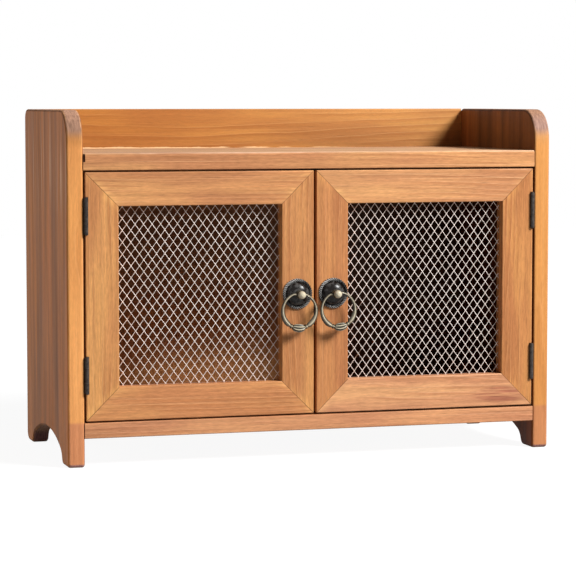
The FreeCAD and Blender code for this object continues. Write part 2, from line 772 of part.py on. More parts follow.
def mitre_nails():
    """An L-shaped nail across each mitre, flush with the back of the frame."""
    leg = "sizes.mitre_nail_leg + sizes.mitre_nail_thickness / 2"
    thin = "sizes.mitre_nail_thickness"
    deep = "sizes.mitre_nail_depth"
    back = f"sizes.door_thickness - {deep}"
    inset = f"sizes.mitre_nail_inset - {thin} / 2"
    low = {"across": f"places.door_left + {inset}", "up": f"places.door_bottom + {inset}"}
    nails = []
    for side in ("lock", "hinge"):
        for level in ("bottom", "top"):
            across_leg, across_thin = low["across"], low["across"]
            up_leg, up_thin = low["up"], low["up"]
            if side == "hinge":
                across_thin = f"places.door_right - {inset} - {thin}"
                across_leg = f"places.door_right - {inset} - ({leg})"
            if level == "top":
                up_thin = f"places.door_top - {inset} - {thin}"
                up_leg = f"places.door_top - {inset} - ({leg})"
            name = f"mitre_nail_{side}_{level}"
            flat = block(f"{name}_rail_leg", (leg, deep, thin), (across_leg, back, up_thin))
            upright = block(f"{name}_stile_leg", (thin, deep, leg), (across_thin, back, up_leg))
            nails.append(joined(name, [flat, upright]))
    return nails


SIGHT_W = "places.sight_width"
SIGHT_H = "places.sight_height"
REBATE = "sizes.rebate_width"
rebate = block(
    "rebate",
    (f"{SIGHT_W} + 2 * {REBATE}", "sizes.door_thickness - sizes.lip_thickness", f"{SIGHT_H} + 2 * {REBATE}"),
    (f"places.sight_left - {REBATE}", "sizes.lip_thickness", f"places.sight_bottom - {REBATE}"),
)
nails = mitre_nails()
keep("right_mitre_nails", together("right_mitre_nails", nails))


def mesh_beads():
    """Four strips in the rebate behind the mesh, and two pins through each."""
    right = f"places.sight_left + {SIGHT_W}"
    top = f"places.sight_bottom + {SIGHT_H}"
    back = "sizes.lip_thickness + sizes.mesh_thickness"
    thick = "places.bead_thickness"
    long_size = (f"{SIGHT_W} + 2 * {REBATE}", thick, REBATE)
    short_size = (REBATE, thick, SIGHT_H)
    left_end = f"places.sight_left - {REBATE}"
    beads = {
        "top": block("bead_top", long_size, (left_end, back, top)),
        "bottom": block("bead_bottom", long_size, (left_end, back, f"places.sight_bottom - {REBATE}")),
        "left": block("bead_left", short_size, (left_end, back, "places.sight_bottom")),
        "right": block("bead_right", short_size, (right, back, "places.sight_bottom")),
    }
    pins, holes = [], []
    off = "sizes.bead_pin_inset"
    for share in ("1 / 5", "4 / 5"):
        across = f"places.sight_left + {SIGHT_W} * {share}"
        up = f"places.sight_bottom + {SIGHT_H} * {share}"
        spots = {
            "top": (across, f"{top} + {off}"),
            "bottom": (across, f"places.sight_bottom - {off}"),
            "left": (f"places.sight_left - {off}", up),
            "right": (f"{right} + {off}", up),
        }
        for name, (x, z) in spots.items():
            start = (x, "sizes.door_thickness", z)
            long = "sizes.bead_pin_length"
            pins.append(rod(f"bead_pin_{name}", "sizes.bead_pin_diameter", long, "front", start))
            loose = "sizes.bead_pin_diameter + 2 * sizes.fit_clearance"
            holes.append(rod(f"bead_pin_hole_{name}", loose, long, "front", start))
    drilled = together("bead_pin_holes", holes)
    keep("right_bead_pins", together("right_bead_pins", pins))
    keep("right_mesh_beads", machined("right_mesh_beads", together("bead_stock", list(beads.values())), [drilled]))
    return drilled


bead_pin_holes = mesh_beads()

strike_bottom = "places.door_top - sizes.strike_drop - sizes.strike_height"
strike_stock = block(
    "strike_stock",
    ("sizes.strike_width", "sizes.strike_thickness", "sizes.strike_height"),
    ("sizes.magnet_from_middle - sizes.strike_width / 2", "sizes.door_thickness", strike_bottom),
)
strike_screw_starts = [
    (
        f"sizes.magnet_from_middle {sign} sizes.strike_screw_spacing / 2",
        "sizes.door_thickness + sizes.strike_thickness",
        f"{strike_bottom} + sizes.strike_height / 2",
    )
    for sign in "-+"
]
strike_screws, strike_screw_holes = screws_and_holes("strike_screw", "front", strike_screw_starts)
keep("right_strike_screws", together("right_strike_screws", strike_screws))
keep("right_strike_plate", machined("right_strike_plate", strike_stock, strike_screw_holes))

pull_hole = rod(
    "pull_hole",
    "sizes.pull_screw_diameter + 2 * sizes.fit_clearance",
    "sizes.door_thickness",
    "back",
    ("places.pull_x", "0", "places.pull_z"),
)
own_cuts = {
    "top_rail": strike_screw_holes,
    "bottom_rail": [],
    "lock_stile": strike_screw_holes + [pull_hole],
    "hinge_stile": door_hinge_cuts,
}
for name, corners in MEMBERS.items():
    cutters = [rebate, bead_pin_holes] + nails + own_cuts[name]
    keep(f"right_{name}", machined(f"right_{name}", frame_member(name, corners), cutters))


# ---------------------------------------------------------------- mesh


def clipped(points, axis, limit, keep_below):
    """A polygon without the part beyond a limit on one axis."""
    inside = [(p[axis] <= limit) == keep_below or near(p[axis], limit) for p in points]
    result = []
    for i, point in enumerate(points):
        previous, was_inside = points[i - 1], inside[i - 1]
        if inside[i] != was_inside:
            share = (limit - previous[axis]) / (point[axis] - previous[axis])
            result.append(tuple(a + (b - a) * share for a, b in zip(previous, point)))
        if inside[i]:
            result.append(point)
    return result


def polygon_area(points):
    return abs(sum(a[0] * b[1] - b[0] * a[1] for a, b in zip(points, points[1:] + points[:1]))) / 2


def mesh_sheet():
    """A flat sheet with diamond openings, cut off straight at a narrow rim hidden by the frame."""
    half_w = number("sizes.diamond_width") / 2
    half_h = number("sizes.diamond_height") / 2
    strand = number("sizes.strand_width")
    shrink = 1 - strand / 2 * math.hypot(half_w, half_h) / (half_w * half_h)
    overlap = number("sizes.mesh_overlap")
    wide = number(SIGHT_W) / 2 + overlap
    tall = number(SIGHT_H) / 2 + overlap
    window_w = wide - number("sizes.mesh_border")
    window_h = tall - number("sizes.mesh_border")
    smallest = strand**2

    def wire(points):
        spots = [Vector(x, 0, z) for x, z in points]
        return Part.makePolygon(spots + spots[:1])

    holes = []
    columns = math.ceil(window_w / half_w)
    rows = math.ceil(window_h / half_h)
    for column in range(-columns, columns + 1):
        for row in range(-rows, rows + 1):
            if (column + row) % 2:
                continue
            x, z = column * half_w, row * half_h
            w, h = half_w * shrink, half_h * shrink
            points = [(x - w, z), (x, z - h), (x + w, z), (x, z + h)]
            for axis, limit in ((0, window_w), (1, window_h)):
                points = clipped(points, axis, limit, True)
                points = clipped(points, axis, -limit, False) if points else points
            if len(points) > 2 and polygon_area(points) > smallest:
                holes.append(wire(points[::-1]))
    rim = wire([(-wide, -tall), (wide, -tall), (wide, tall), (-wide, tall)])
    face = Part.Face([rim] + holes)
    return face.extrude(Vector(0, number("sizes.mesh_thickness"), 0))


mesh = doc.addObject("Part::Feature", "right_mesh_panel")
mesh.Shape = mesh_sheet()
put(
    mesh,
    f"places.sight_left + {SIGHT_W} / 2",
    "sizes.lip_thickness",
    f"places.sight_bottom + {SIGHT_H} / 2",
)
keep("right_mesh_panel", mesh)


# ---------------------------------------------------------------- pull

PULL = ("places.pull_x", "0", "places.pull_z")


def rose():
    """A round plate with a milled rim and a dome, turned about the pull's axis."""
    body = new_body("rose", *PULL)
    radius = "sizes.rose_diameter / 2"
    bore = "sizes.spigot_diameter / 2 + sizes.fit_clearance"
    flat = f"{radius} - sizes.rim_width"
    profile = [
        (bore, "0"),
        (radius, "0"),
        (radius, "-(sizes.rim_height - sizes.rim_rounding)"),
        (f"{radius} - sizes.rim_rounding", "-sizes.rim_height", "sizes.rim_rounding", -1),
        (flat, "-sizes.rim_height"),
        (f"{flat} - sizes.dish_width", "-sizes.dish_height"),
        ("sizes.dome_diameter / 2", "-sizes.dish_height"),
        ("sizes.collar_diameter / 2", "-sizes.dome_height", "sizes.dome_curve", -1),
        (bore, "-sizes.dome_height"),
    ]
    revolution(body, "rose_turned", outline(body, "rose_profile", "XY_Plane", profile))
    half = "sizes.tooth_gap / 2"
    inner = f"{radius} - sizes.tooth_depth"
    outer = f"{radius} + sizes.tooth_gap"
    notch = [(inner, f"-({half})"), (outer, f"-({half})"), (outer, half), (inner, half)]
    notch_sketch = outline(body, "tooth_outline", "XZ_Plane", notch)
    first = pocket(body, "tooth", notch_sketch)
    pattern = body.newObject("PartDesign::PolarPattern", "teeth")
    pattern.Originals = [first]
    pattern.Axis = (notch_sketch, ["N_Axis"])
    pattern.Angle = 360
    bind(pattern, Occurrences="sizes.rose_teeth")
    body.Tip = pattern
    doc.recompute()
    return body


def post():
    """A turned post: spigot in the rose, collar, eye for the ring, waist and ball."""
    body = new_body("post_stock", *PULL)
    eye = "sizes.eye_diameter / 2"
    ball = "sizes.ball_diameter / 2"
    neck = f"sqrt(({eye}) ^ 2 - (sizes.eye_height - places.collar_top) ^ 2)"
    profile = [
        ("0", "0"),
        ("sizes.spigot_diameter / 2", "0"),
        ("sizes.spigot_diameter / 2", "-sizes.dome_height"),
        ("sizes.collar_diameter / 2", "-sizes.dome_height"),
        ("sizes.collar_diameter / 2", "-places.collar_top"),
        (neck, "-places.collar_top"),
        ("sizes.waist_diameter / 2", "-places.waist_height", eye, -1),
        ("sizes.ball_flat_diameter / 2", "-places.pull_projection", ball, -1),
        ("0", "-places.pull_projection"),
    ]
    revolution(body, "post_turned", outline(body, "post_profile", "XY_Plane", profile))
    return body


eye_bore = rod(
    "eye_bore",
    "sizes.ring_pin_diameter + 2 * sizes.fit_clearance",
    "sizes.eye_diameter",
    "right",
    ("places.pull_x - sizes.eye_diameter / 2", "-sizes.eye_height", "places.pull_z"),
)
thread_bore = rod(
    "thread_bore",
    "sizes.pull_screw_diameter + 2 * sizes.fit_clearance",
    "sizes.pull_screw_reach",
    "front",
    PULL,
)
keep("right_pull_rose", rose())
keep("right_pull_post", machined("right_pull_post", post(), [eye_bore, thread_bore]))
pull_screw_shank = rod(
    "pull_screw_shank",
    "sizes.pull_screw_diameter",
    "sizes.door_thickness + sizes.pull_screw_reach",
    "front",
    ("places.pull_x", "sizes.door_thickness", "places.pull_z"),
)
pull_screw_head = rod(
    "pull_screw_head",
    "sizes.pull_screw_head_diameter",
    "sizes.pull_screw_head_depth",
    "back",
    ("places.pull_x", "sizes.door_thickness", "places.pull_z"),
)
keep("right_pull_screw", joined("right_pull_screw", [pull_screw_shank, pull_screw_head]))

THICKEST_AT = 115
NECK_AT = 158
RING_STATIONS = 13


def ring_wire_radius(degrees, start):
    """Wire radius at an angle down from the ring's top: thin, then thick low down, then a neck."""
    thin = number("sizes.ring_pin_diameter") / 2
    thick = number("sizes.ring_side_diameter") / 2
    neck = number("sizes.ring_neck_diameter") / 2
    if degrees < THICKEST_AT:
        share = max(degrees - start, 0) / (THICKEST_AT - start)
        return thin + (thick - thin) * share**1.5
    share = min((degrees - THICKEST_AT) / (NECK_AT - THICKEST_AT), 1)
    return thick + (neck - thick) * share**2


def bead(middle):
    """The oval bead, a solid of revolution about the line across through its middle."""
    long = number("sizes.bead_length") / 2
    tip = number("sizes.bead_end_diameter") / 2
    belly = number("sizes.bead_diameter") / 2
    ends = [middle + Vector(-long, 0, 0), middle + Vector(long, 0, 0)]
    rims = [p + Vector(0, 0, tip) for p in ends]
    barrel = Part.BSplineCurve()
    barrel.interpolate([rims[0], middle + Vector(0, 0, belly), rims[1]])
    lines = [(rims[1], ends[1]), (ends[1], ends[0]), (ends[0], rims[0])]
    edges = [barrel.toShape()] + [Part.makeLine(a, b) for a, b in lines]
    return Part.Face(Part.Wire(edges)).revolve(middle, Vector(1, 0, 0), 360)


def ring():
    """An open ring that hangs from the middle of the eye, with a bead at its lowest point."""
    radius = number("sizes.ring_radius")
    mouth = number("sizes.ring_mouth") / 2
    centre = Vector(0, 0, -number("places.ring_drop"))
    top = centre + Vector(0, 0, radius)
    start = math.degrees(math.asin(mouth / radius))
    across = Vector(1, 0, 0)

    def turned(item, degrees):
        item.rotate(centre, Vector(0, 1, 0), degrees)
        return item

    sections = []
    for i in range(RING_STATIONS):
        degrees = start + (360 - 2 * start) * i / (RING_STATIONS - 1)
        size = ring_wire_radius(min(degrees, 360 - degrees), start)
        sections.append(Part.Wire([turned(Part.makeCircle(size, top, across), degrees)]))
    wire = Part.makeLoft(sections, True, False)

    pin = number("sizes.ring_pin_diameter") / 2
    bend = number("sizes.ring_bend_diameter") / 2
    end_gap = number("sizes.ring_end_gap") / 2
    collar = number("sizes.ring_collar_diameter") / 2
    additions = [bead(centre - Vector(0, 0, radius))]
    for side in (-1, 1):
        outward = across * side
        additions.append(Part.makeCylinder(pin, mouth - end_gap, outward * end_gap, outward))
        additions.append(Part.makeSphere(bend, outward * mouth))
        # the sphere's poles lie along the wire, so that they are inside it
        additions.append(turned(Part.makeSphere(collar, top, across), side * NECK_AT))
    return wire.fuse(additions).removeSplitter()


ring_feature = doc.addObject("Part::Feature", "right_pull_ring")
ring_feature.Shape = ring()
put(ring_feature, "places.pull_x", "-sizes.eye_height", "places.pull_z")
keep("right_pull_ring", ring_feature)


# ---------------------------------------------------------------- left-hand pieces

for label, source in list(pieces.items()):
    if label.startswith("right_"):
        twin_label = label.replace("right_", "left_", 1)
        twin = doc.addObject("Part::Mirroring", twin_label)
        twin.Source = source
        twin.Normal = Vector(1, 0, 0)
        keep(twin_label, twin)

doc.recompute()


# ---------------------------------------------------------------- checks and export

for item in doc.Objects:
    if {"Invalid", "Error"} & set(item.State):
        raise RuntimeError(f"{item.Label} failed: {item.State}")
os.makedirs("parts", exist_ok=True)
for label in sorted(pieces):
    shape = pieces[label].Shape
    if shape.isNull() or not shape.isValid() or not shape.Solids:
        raise RuntimeError(f"{label} has no valid solid")
    shape.exportStep(f"parts/{label}.step")
    print(f"{label}: {len(shape.Solids)} solid(s), {shape.Volume:.1f} mm3")
print(len(pieces), "nodes")
print("hinge axis", number("places.hinge_x"), number("places.front_y - sizes.barrel_proud"))
print("ring pivot", number("places.pull_x"), number("places.front_y - sizes.eye_height"), number("places.pull_z"))
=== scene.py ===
# %% [markdown]
# # A tabletop cabinet with mesh doors
#
# The cabinet is stained softwood: two thick sides that end in feet, a shelf that is the floor of an
# open tray, a bottom board and one thin back whose top strip is the tray's gallery. Two mitred doors
# hold expanded metal, hang on small black butt hinges and open with cast ring pulls.
#
# The construction comes from a fixed frame: each wooden board is already there at its real size. What
# is left to make is the look: finishes for every board and fitting, the hinges and screws among them,
# and the pieces whose beauty is in small shapes, which are the pulls and the metal mesh.

# %% Load the frame
import json
import math
import random

import bmesh
import bpy
import numpy as np
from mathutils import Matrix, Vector


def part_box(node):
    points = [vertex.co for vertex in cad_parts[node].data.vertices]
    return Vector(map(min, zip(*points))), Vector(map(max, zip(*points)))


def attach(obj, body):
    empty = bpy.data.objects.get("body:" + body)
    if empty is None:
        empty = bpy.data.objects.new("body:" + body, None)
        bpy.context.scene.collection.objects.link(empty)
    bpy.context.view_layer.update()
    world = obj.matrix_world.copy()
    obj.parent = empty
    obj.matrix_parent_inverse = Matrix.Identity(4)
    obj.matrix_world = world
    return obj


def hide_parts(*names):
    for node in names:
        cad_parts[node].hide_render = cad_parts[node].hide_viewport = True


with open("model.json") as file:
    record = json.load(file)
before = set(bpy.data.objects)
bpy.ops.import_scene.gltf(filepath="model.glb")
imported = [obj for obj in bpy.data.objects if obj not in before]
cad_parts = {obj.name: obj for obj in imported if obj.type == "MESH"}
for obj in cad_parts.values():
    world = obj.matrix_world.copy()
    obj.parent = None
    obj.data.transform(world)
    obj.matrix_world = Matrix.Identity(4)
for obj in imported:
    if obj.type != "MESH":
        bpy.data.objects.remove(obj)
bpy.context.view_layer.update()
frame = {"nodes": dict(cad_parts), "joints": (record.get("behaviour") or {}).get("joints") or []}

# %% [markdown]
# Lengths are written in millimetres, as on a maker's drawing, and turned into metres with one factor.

MM = 0.001
SIDES = {"left": -1, "right": 1}

# %% [markdown]
# ## The camera
#
# A long lens from far away keeps the cabinet's edges nearly parallel. The camera stands to the left of
# the cabinet, a little above its top, and looks slightly down, so that the left side, the doors and the
# tray all show. A tracked camera would be quicker to place, but a fixed turn and tilt are easier to
# compare from one render to the next.

# %% Camera
shelf_low, shelf_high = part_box("top_shelf")
FRONT_Y = shelf_low.y
CAMERA_PLACE = Vector((-567.0 * MM, FRONT_Y - 1811.4 * MM, 285.4 * MM))
CAMERA_TURN = 16.73
CAMERA_TILT_DOWN = 4.507
CAMERA_LENS = 149.87

camera_data = bpy.data.cameras.new("camera")
camera_data.lens = CAMERA_LENS
camera_data.sensor_width = 36.0
camera = bpy.data.objects.new("camera", camera_data)
camera.location = CAMERA_PLACE
camera.rotation_euler = (math.radians(90 - CAMERA_TILT_DOWN), 0, math.radians(-CAMERA_TURN))
bpy.context.scene.collection.objects.link(camera)
bpy.context.scene.camera = camera
bpy.context.scene.view_settings.view_transform = "Standard"
print("camera at", [round(v, 3) for v in camera.location])

# %% [markdown]
# ## Node helpers
#
# Every finish below is a small tree of shader nodes. A few helpers keep the trees short to write. The
# first three add a node and wire its inputs, do arithmetic, and mix two colours. A node group could do
# the same, but a plain tree is easier to read in the shader editor.

# %% Adding nodes
MIX_FACTOR, MIX_A, MIX_B, MIX_RESULT = 0, 6, 7, 2


def add_node(tree, kind, settings=None, inputs=None):
    """Adds a shader node. Inputs are plain values or the sockets of other nodes."""
    item = tree.nodes.new("ShaderNode" + kind)
    for name, value in (settings or {}).items():
        setattr(item, name, value)
    for name, value in (inputs or {}).items():
        if isinstance(value, bpy.types.NodeSocket):
            tree.links.new(value, item.inputs[name])
        else:
            item.inputs[name].default_value = value
    return item


def calc(tree, operation, *values, clamp=False):
    """Arithmetic on numbers or sockets."""
    inputs = dict(enumerate(values))
    return add_node(tree, "Math", {"operation": operation, "use_clamp": clamp}, inputs).outputs[0]


def mix(tree, factor, first, second, blend="MIX"):
    """Mixes two colours by a number or a socket."""
    settings = {"data_type": "RGBA", "blend_type": blend, "clamp_factor": True}
    inputs = {MIX_FACTOR: factor, MIX_A: first, MIX_B: second}
    return add_node(tree, "Mix", settings, inputs).outputs[MIX_RESULT]


print("a Mix node for colours reads inputs", MIX_FACTOR, MIX_A, MIX_B, "and gives output", MIX_RESULT)

# %% [markdown]
# A mask is a number from 0 to 1 that says where something shows. Masks start as a coordinate or as
# noise, and a Map Range node with smooth ends turns them into soft steps and bands. A Color Ramp could
# do that too, but its stops can't be wired to other nodes.

# %% Steps, bands and noise
def step(tree, value, low, high):
    """0 below the low value, 1 above the high one, and smooth between them."""
    settings = {"interpolation_type": "SMOOTHSTEP"}
    inputs = {"Value": value, "From Min": low, "From Max": high}
    return add_node(tree, "MapRange", settings, inputs).outputs["Result"]


def band(tree, value, low, high, soft):
    """1 between two values, and 0 outside them."""
    rising = step(tree, value, low - soft, low + soft)
    return calc(tree, "MULTIPLY", rising, step(tree, value, high + soft, high - soft))


def swing(tree, value, amount):
    """A factor round 1 out of a noise round 0.5."""
    return calc(tree, "MULTIPLY_ADD", value, amount, 1 - amount / 2)


def stretch(tree, vector, scale, shift=(0, 0, 0)):
    """A scaled and shifted copy of texture coordinates."""
    inputs = {"Vector": vector, "Scale": scale, "Location": shift}
    return add_node(tree, "Mapping", None, inputs).outputs["Vector"]


def noise(tree, vector, detail=2.0, roughness=0.5):
    """Noise from 0 to 1 with features about one unit wide."""
    inputs = {"Vector": vector, "Scale": 1.0, "Detail": detail, "Roughness": roughness}
    return add_node(tree, "TexNoise", None, inputs).outputs["Fac"]


print("made from Map Range, Mapping and Noise Texture nodes: step, band, swing, stretch, noise")

# %% [markdown]
# Colours are written as red, green and blue in linear light, and paler or darker tints are worked out
# from them, so that a board's tone is set in one place.

# %% Materials and colours
def new_material(name):
    """An empty material, and its tree and surface shader."""
    material = bpy.data.materials.new(name)
    material.use_nodes = True
    tree = material.node_tree
    return material, tree, tree.nodes["Principled BSDF"]


def rgb(red, green, blue):
    """An opaque colour."""
    return (red, green, blue, 1.0)


def tinted(colour, red, green=None, blue=None):
    """A colour times a grey or coloured factor."""
    factors = (red, red if green is None else green, red if blue is None else blue)
    return tuple(min(c * f, 1.0) for c, f in zip(colour[:3], factors)) + (1.0,)


print("a mid brown and its paler tint:", rgb(0.5, 0.25, 0.1), tinted(rgb(0.5, 0.25, 0.1), 1.2))

# %% [markdown]
# ## Floor
#
# The cabinet stands in a white studio. A white floor that is only lit would need so much light that the
# wood would wash out. So the floor glows by itself where the camera or a reflection sees it, and to all
# other rays it is a plain grey that throws little light back, so that hollows keep their depth. Near
# the cabinet the glow is a little less than white and the lamps add the rest, which keeps a faint soft
# shadow. Farther out the lamps fade, so the glow rises to full white and no grey rim shows.

# %% Floor finish
FLOOR_GLOW = 0.93
FAR_GLOW = 1.0
GLOW_RISES = (0.3, 0.8)
FLOOR_SEEN = 0.12
FLOOR_ALBEDO = 0.38


def direct_sight(tree):
    """1 for rays from the camera, in reflections and through glass."""
    path = add_node(tree, "LightPath")
    seen = calc(tree, "MAXIMUM", path.outputs["Is Camera Ray"], path.outputs["Is Glossy Ray"])
    return calc(tree, "MAXIMUM", seen, path.outputs["Is Transmission Ray"])


def floor_material():
    """A floor that glows for the camera and is plain grey for all other rays."""
    material, tree, shader = new_material("white_floor")
    tree.nodes.remove(shader)
    plain = add_node(tree, "BsdfDiffuse", None, {"Color": rgb(*[FLOOR_ALBEDO] * 3)})
    shaded = add_node(tree, "BsdfDiffuse", None, {"Color": rgb(*[FLOOR_SEEN] * 3)})
    place = add_node(tree, "TexCoord").outputs["Object"]
    away = add_node(tree, "VectorMath", {"operation": "LENGTH"}, {0: place}).outputs["Value"]
    far = step(tree, away, *GLOW_RISES)
    strength = calc(tree, "MULTIPLY_ADD", far, FAR_GLOW - FLOOR_GLOW, FLOOR_GLOW)
    glow = add_node(tree, "Emission", None, {"Color": rgb(1, 1, 1), "Strength": strength})
    seen = add_node(tree, "AddShader", None, {0: shaded.outputs[0], 1: glow.outputs[0]})
    either = {0: direct_sight(tree), 1: plain.outputs[0], 2: seen.outputs[0]}
    choice = add_node(tree, "MixShader", None, either)
    tree.links.new(choice.outputs[0], tree.nodes["Material Output"].inputs["Surface"])
    return material


print("floor seen by the camera: glow", FLOOR_GLOW, "near the cabinet and", FAR_GLOW, "far away")

# %% [markdown]
# The floor itself is one flat square under the feet.

# %% Floor
FLOOR_HALF = 3.0


def link(obj):
    """Puts a new object into the scene."""
    bpy.context.scene.collection.objects.link(obj)
    return obj


floor_mesh = bpy.data.meshes.new("floor")
floor_signs = [(-1, -1), (1, -1), (1, 1), (-1, 1)]
floor_corners = [(x * FLOOR_HALF, y * FLOOR_HALF, 0) for x, y in floor_signs]
floor_mesh.from_pydata(floor_corners, [], [(0, 1, 2, 3)])
floor_mesh.materials.append(floor_material())
floor = link(bpy.data.objects.new("floor", floor_mesh))
print("floor", 2 * FLOOR_HALF, "m wide")

# %% [markdown]
# ## Surroundings
#
# The world behind the floor follows the same idea: white for the camera and in reflections, and a dim
# even light for everything else. That dim light is all that reaches the inside of the cabinet from the
# sides, so it is kept low, or the space behind the mesh would look empty and grey.

# %% Surroundings
SURROUND = 0.045

world = bpy.data.worlds.new("studio")
bpy.context.scene.world = world
world.use_nodes = True
world_tree = world.node_tree
world_tree.nodes.clear()
fill = add_node(world_tree, "Background", None, {"Color": rgb(1, 1, 1), "Strength": SURROUND})
white = add_node(world_tree, "Background", None, {"Color": rgb(1, 1, 1), "Strength": 1.0})
either = {0: direct_sight(world_tree), 1: fill.outputs[0], 2: white.outputs[0]}
sky = add_node(world_tree, "MixShader", None, either)
world_out = add_node(world_tree, "OutputWorld")
world_tree.links.new(sky.outputs[0], world_out.inputs["Surface"])
print("even light from all round:", SURROUND)

# %% [markdown]
# ## Lamps
#
# One soft lamp to the right, in front and above makes the light and the shadows. Its size sets how soft
# the shadow of the right side is on the tray's gallery. A large dim lamp on the left opens up the
# shaded side; it is left out of reflections, because a second highlight on every ring and ball would
# look busy. Sun lamps would be simpler, but a disk near the object falls off across it as a studio
# lamp does, which gives the left side its darker tone.

# %% Lamps
LAMP_AIM_HEIGHT = 0.14


def lamp(name, azimuth, height, distance, size, power, gloss=True):
    """A round soft lamp that points at the cabinet. Azimuth counts from the front to the right."""
    turn, rise = math.radians(azimuth), math.radians(height)
    flat = math.cos(rise)
    away = Vector((math.sin(turn) * flat, -math.cos(turn) * flat, math.sin(rise)))
    data = bpy.data.lights.new(name, "AREA")
    data.shape = "DISK"
    data.size = size
    data.energy = power
    obj = link(bpy.data.objects.new(name, data))
    obj.location = away * distance + Vector((0, 0, LAMP_AIM_HEIGHT))
    obj.rotation_euler = away.to_track_quat("Z", "Y").to_euler()
    obj.visible_glossy = gloss
    print(name, "lamp at", [round(v, 2) for v in obj.location])
    return obj


lamp("key", azimuth=45.0, height=35.0, distance=2.4, size=0.80, power=94.0)
lamp("side", azimuth=-101.0, height=12.0, distance=1.6, size=1.1, power=6.5, gloss=False)

# %% [markdown]
# ## Stained softwood
#
# Every board is cut from a log, so its grain is a slice through growth rings. A sawn face shows them as
# bands that run along the board with thin, hard, pale lines between them. The finish copies that with
# stretched noise: the distance across the board, bent by slow noise, is cut into bands. On top come
# long fibres, slow drifts of the stain, and short dark pores. Where a face cuts across the fibres it is
# end grain, which is paler and speckled, and a rounded edge is rubbed thinner and paler in places,
# which also stands as a painted highlight along the edge.
#
# A Wave texture also draws rings, but its bands are all of one width and repeat. Each board gets a
# material of its own from one function, so that grain direction, tone and pattern differ from board to
# board as they do in the real thing. Marks that only some boards have, such as the line of a mitre, are
# small functions that the caller passes in.

# %% Board coordinates
AXES = "XYZ"


class Board:
    """What a mark needs to know about the board that it is drawn on."""

    def __init__(self, tree, seed, grain, face, spread=1.0):
        self.tree = tree
        place = add_node(tree, "TexCoord")
        position = add_node(tree, "SeparateXYZ", None, {0: place.outputs["Object"]})
        facing = add_node(tree, "SeparateXYZ", None, {0: place.outputs["Normal"]})
        self.spot = {axis: calc(tree, "DIVIDE", position.outputs[axis], MM) for axis in AXES}
        self.facing = {axis: facing.outputs[axis] for axis in AXES}
        draw = random.Random(seed)
        self.start = tuple(draw.uniform(0, 900) for _ in range(3))
        width = next(axis for axis in AXES if axis not in (grain, face))
        self.along, self.across = self.spot[grain], calc(tree, "DIVIDE", self.spot[width], spread)
        inputs = {0: self.along, 1: self.across, 2: self.spot[face]}
        self.vector = add_node(tree, "CombineXYZ", None, inputs).outputs[0]

    def noise(self, along, across, detail=2.0, roughness=0.5):
        """Noise with so many features to a millimetre along and across the grain."""
        scaled = stretch(self.tree, self.vector, (along, across, across), self.start)
        return noise(self.tree, scaled, detail, roughness)


print("a mark may ask a board for its place and its direction along", ", ".join(AXES))

# %% [markdown]
# ### Growth bands
#
# A growth ring has a broad pale part and a narrow dark one, and in a board the rings are cut lengthwise.
# The distance across the board is counted in band widths, bent by two slow noises and shifted by a
# third, so that no two bands are alike. The fraction of that count says how far through a ring a point
# is: dark late wood builds up slowly and stops abruptly, with a thin hard line beside it.

# %% Growth bands
def growth_bands(board, width, slope):
    """Masks of the dark late wood and of the thin pale lines, which run at a small slope to the board."""
    tree = board.tree
    bend = calc(tree, "MULTIPLY_ADD", board.noise(0.004, 0.012, 1.0), 26.0, -13.0)
    sway = calc(tree, "MULTIPLY_ADD", board.noise(0.016, 0.05, 2.0), 4.0, bend)
    slanted = calc(tree, "MULTIPLY_ADD", board.along, slope, calc(tree, "ADD", board.across, sway))
    counted = calc(tree, "DIVIDE", slanted, width)
    lane = calc(tree, "MULTIPLY_ADD", board.noise(0.002, 0.02, 0.0), 4.0, counted)
    phase = calc(tree, "FRACT", lane)
    late = calc(tree, "MULTIPLY", step(tree, phase, 0.2, 0.8), step(tree, phase, 1.0, 0.86))
    pale = band(tree, phase, 0.89, 0.94, 0.04)
    patchy = step(tree, board.noise(0.007, 0.07, 2.0), 0.42, 0.60)
    return calc(tree, "MULTIPLY", late, patchy), calc(tree, "MULTIPLY", pale, patchy)


print("growth bands give two masks: late wood and pale lines")
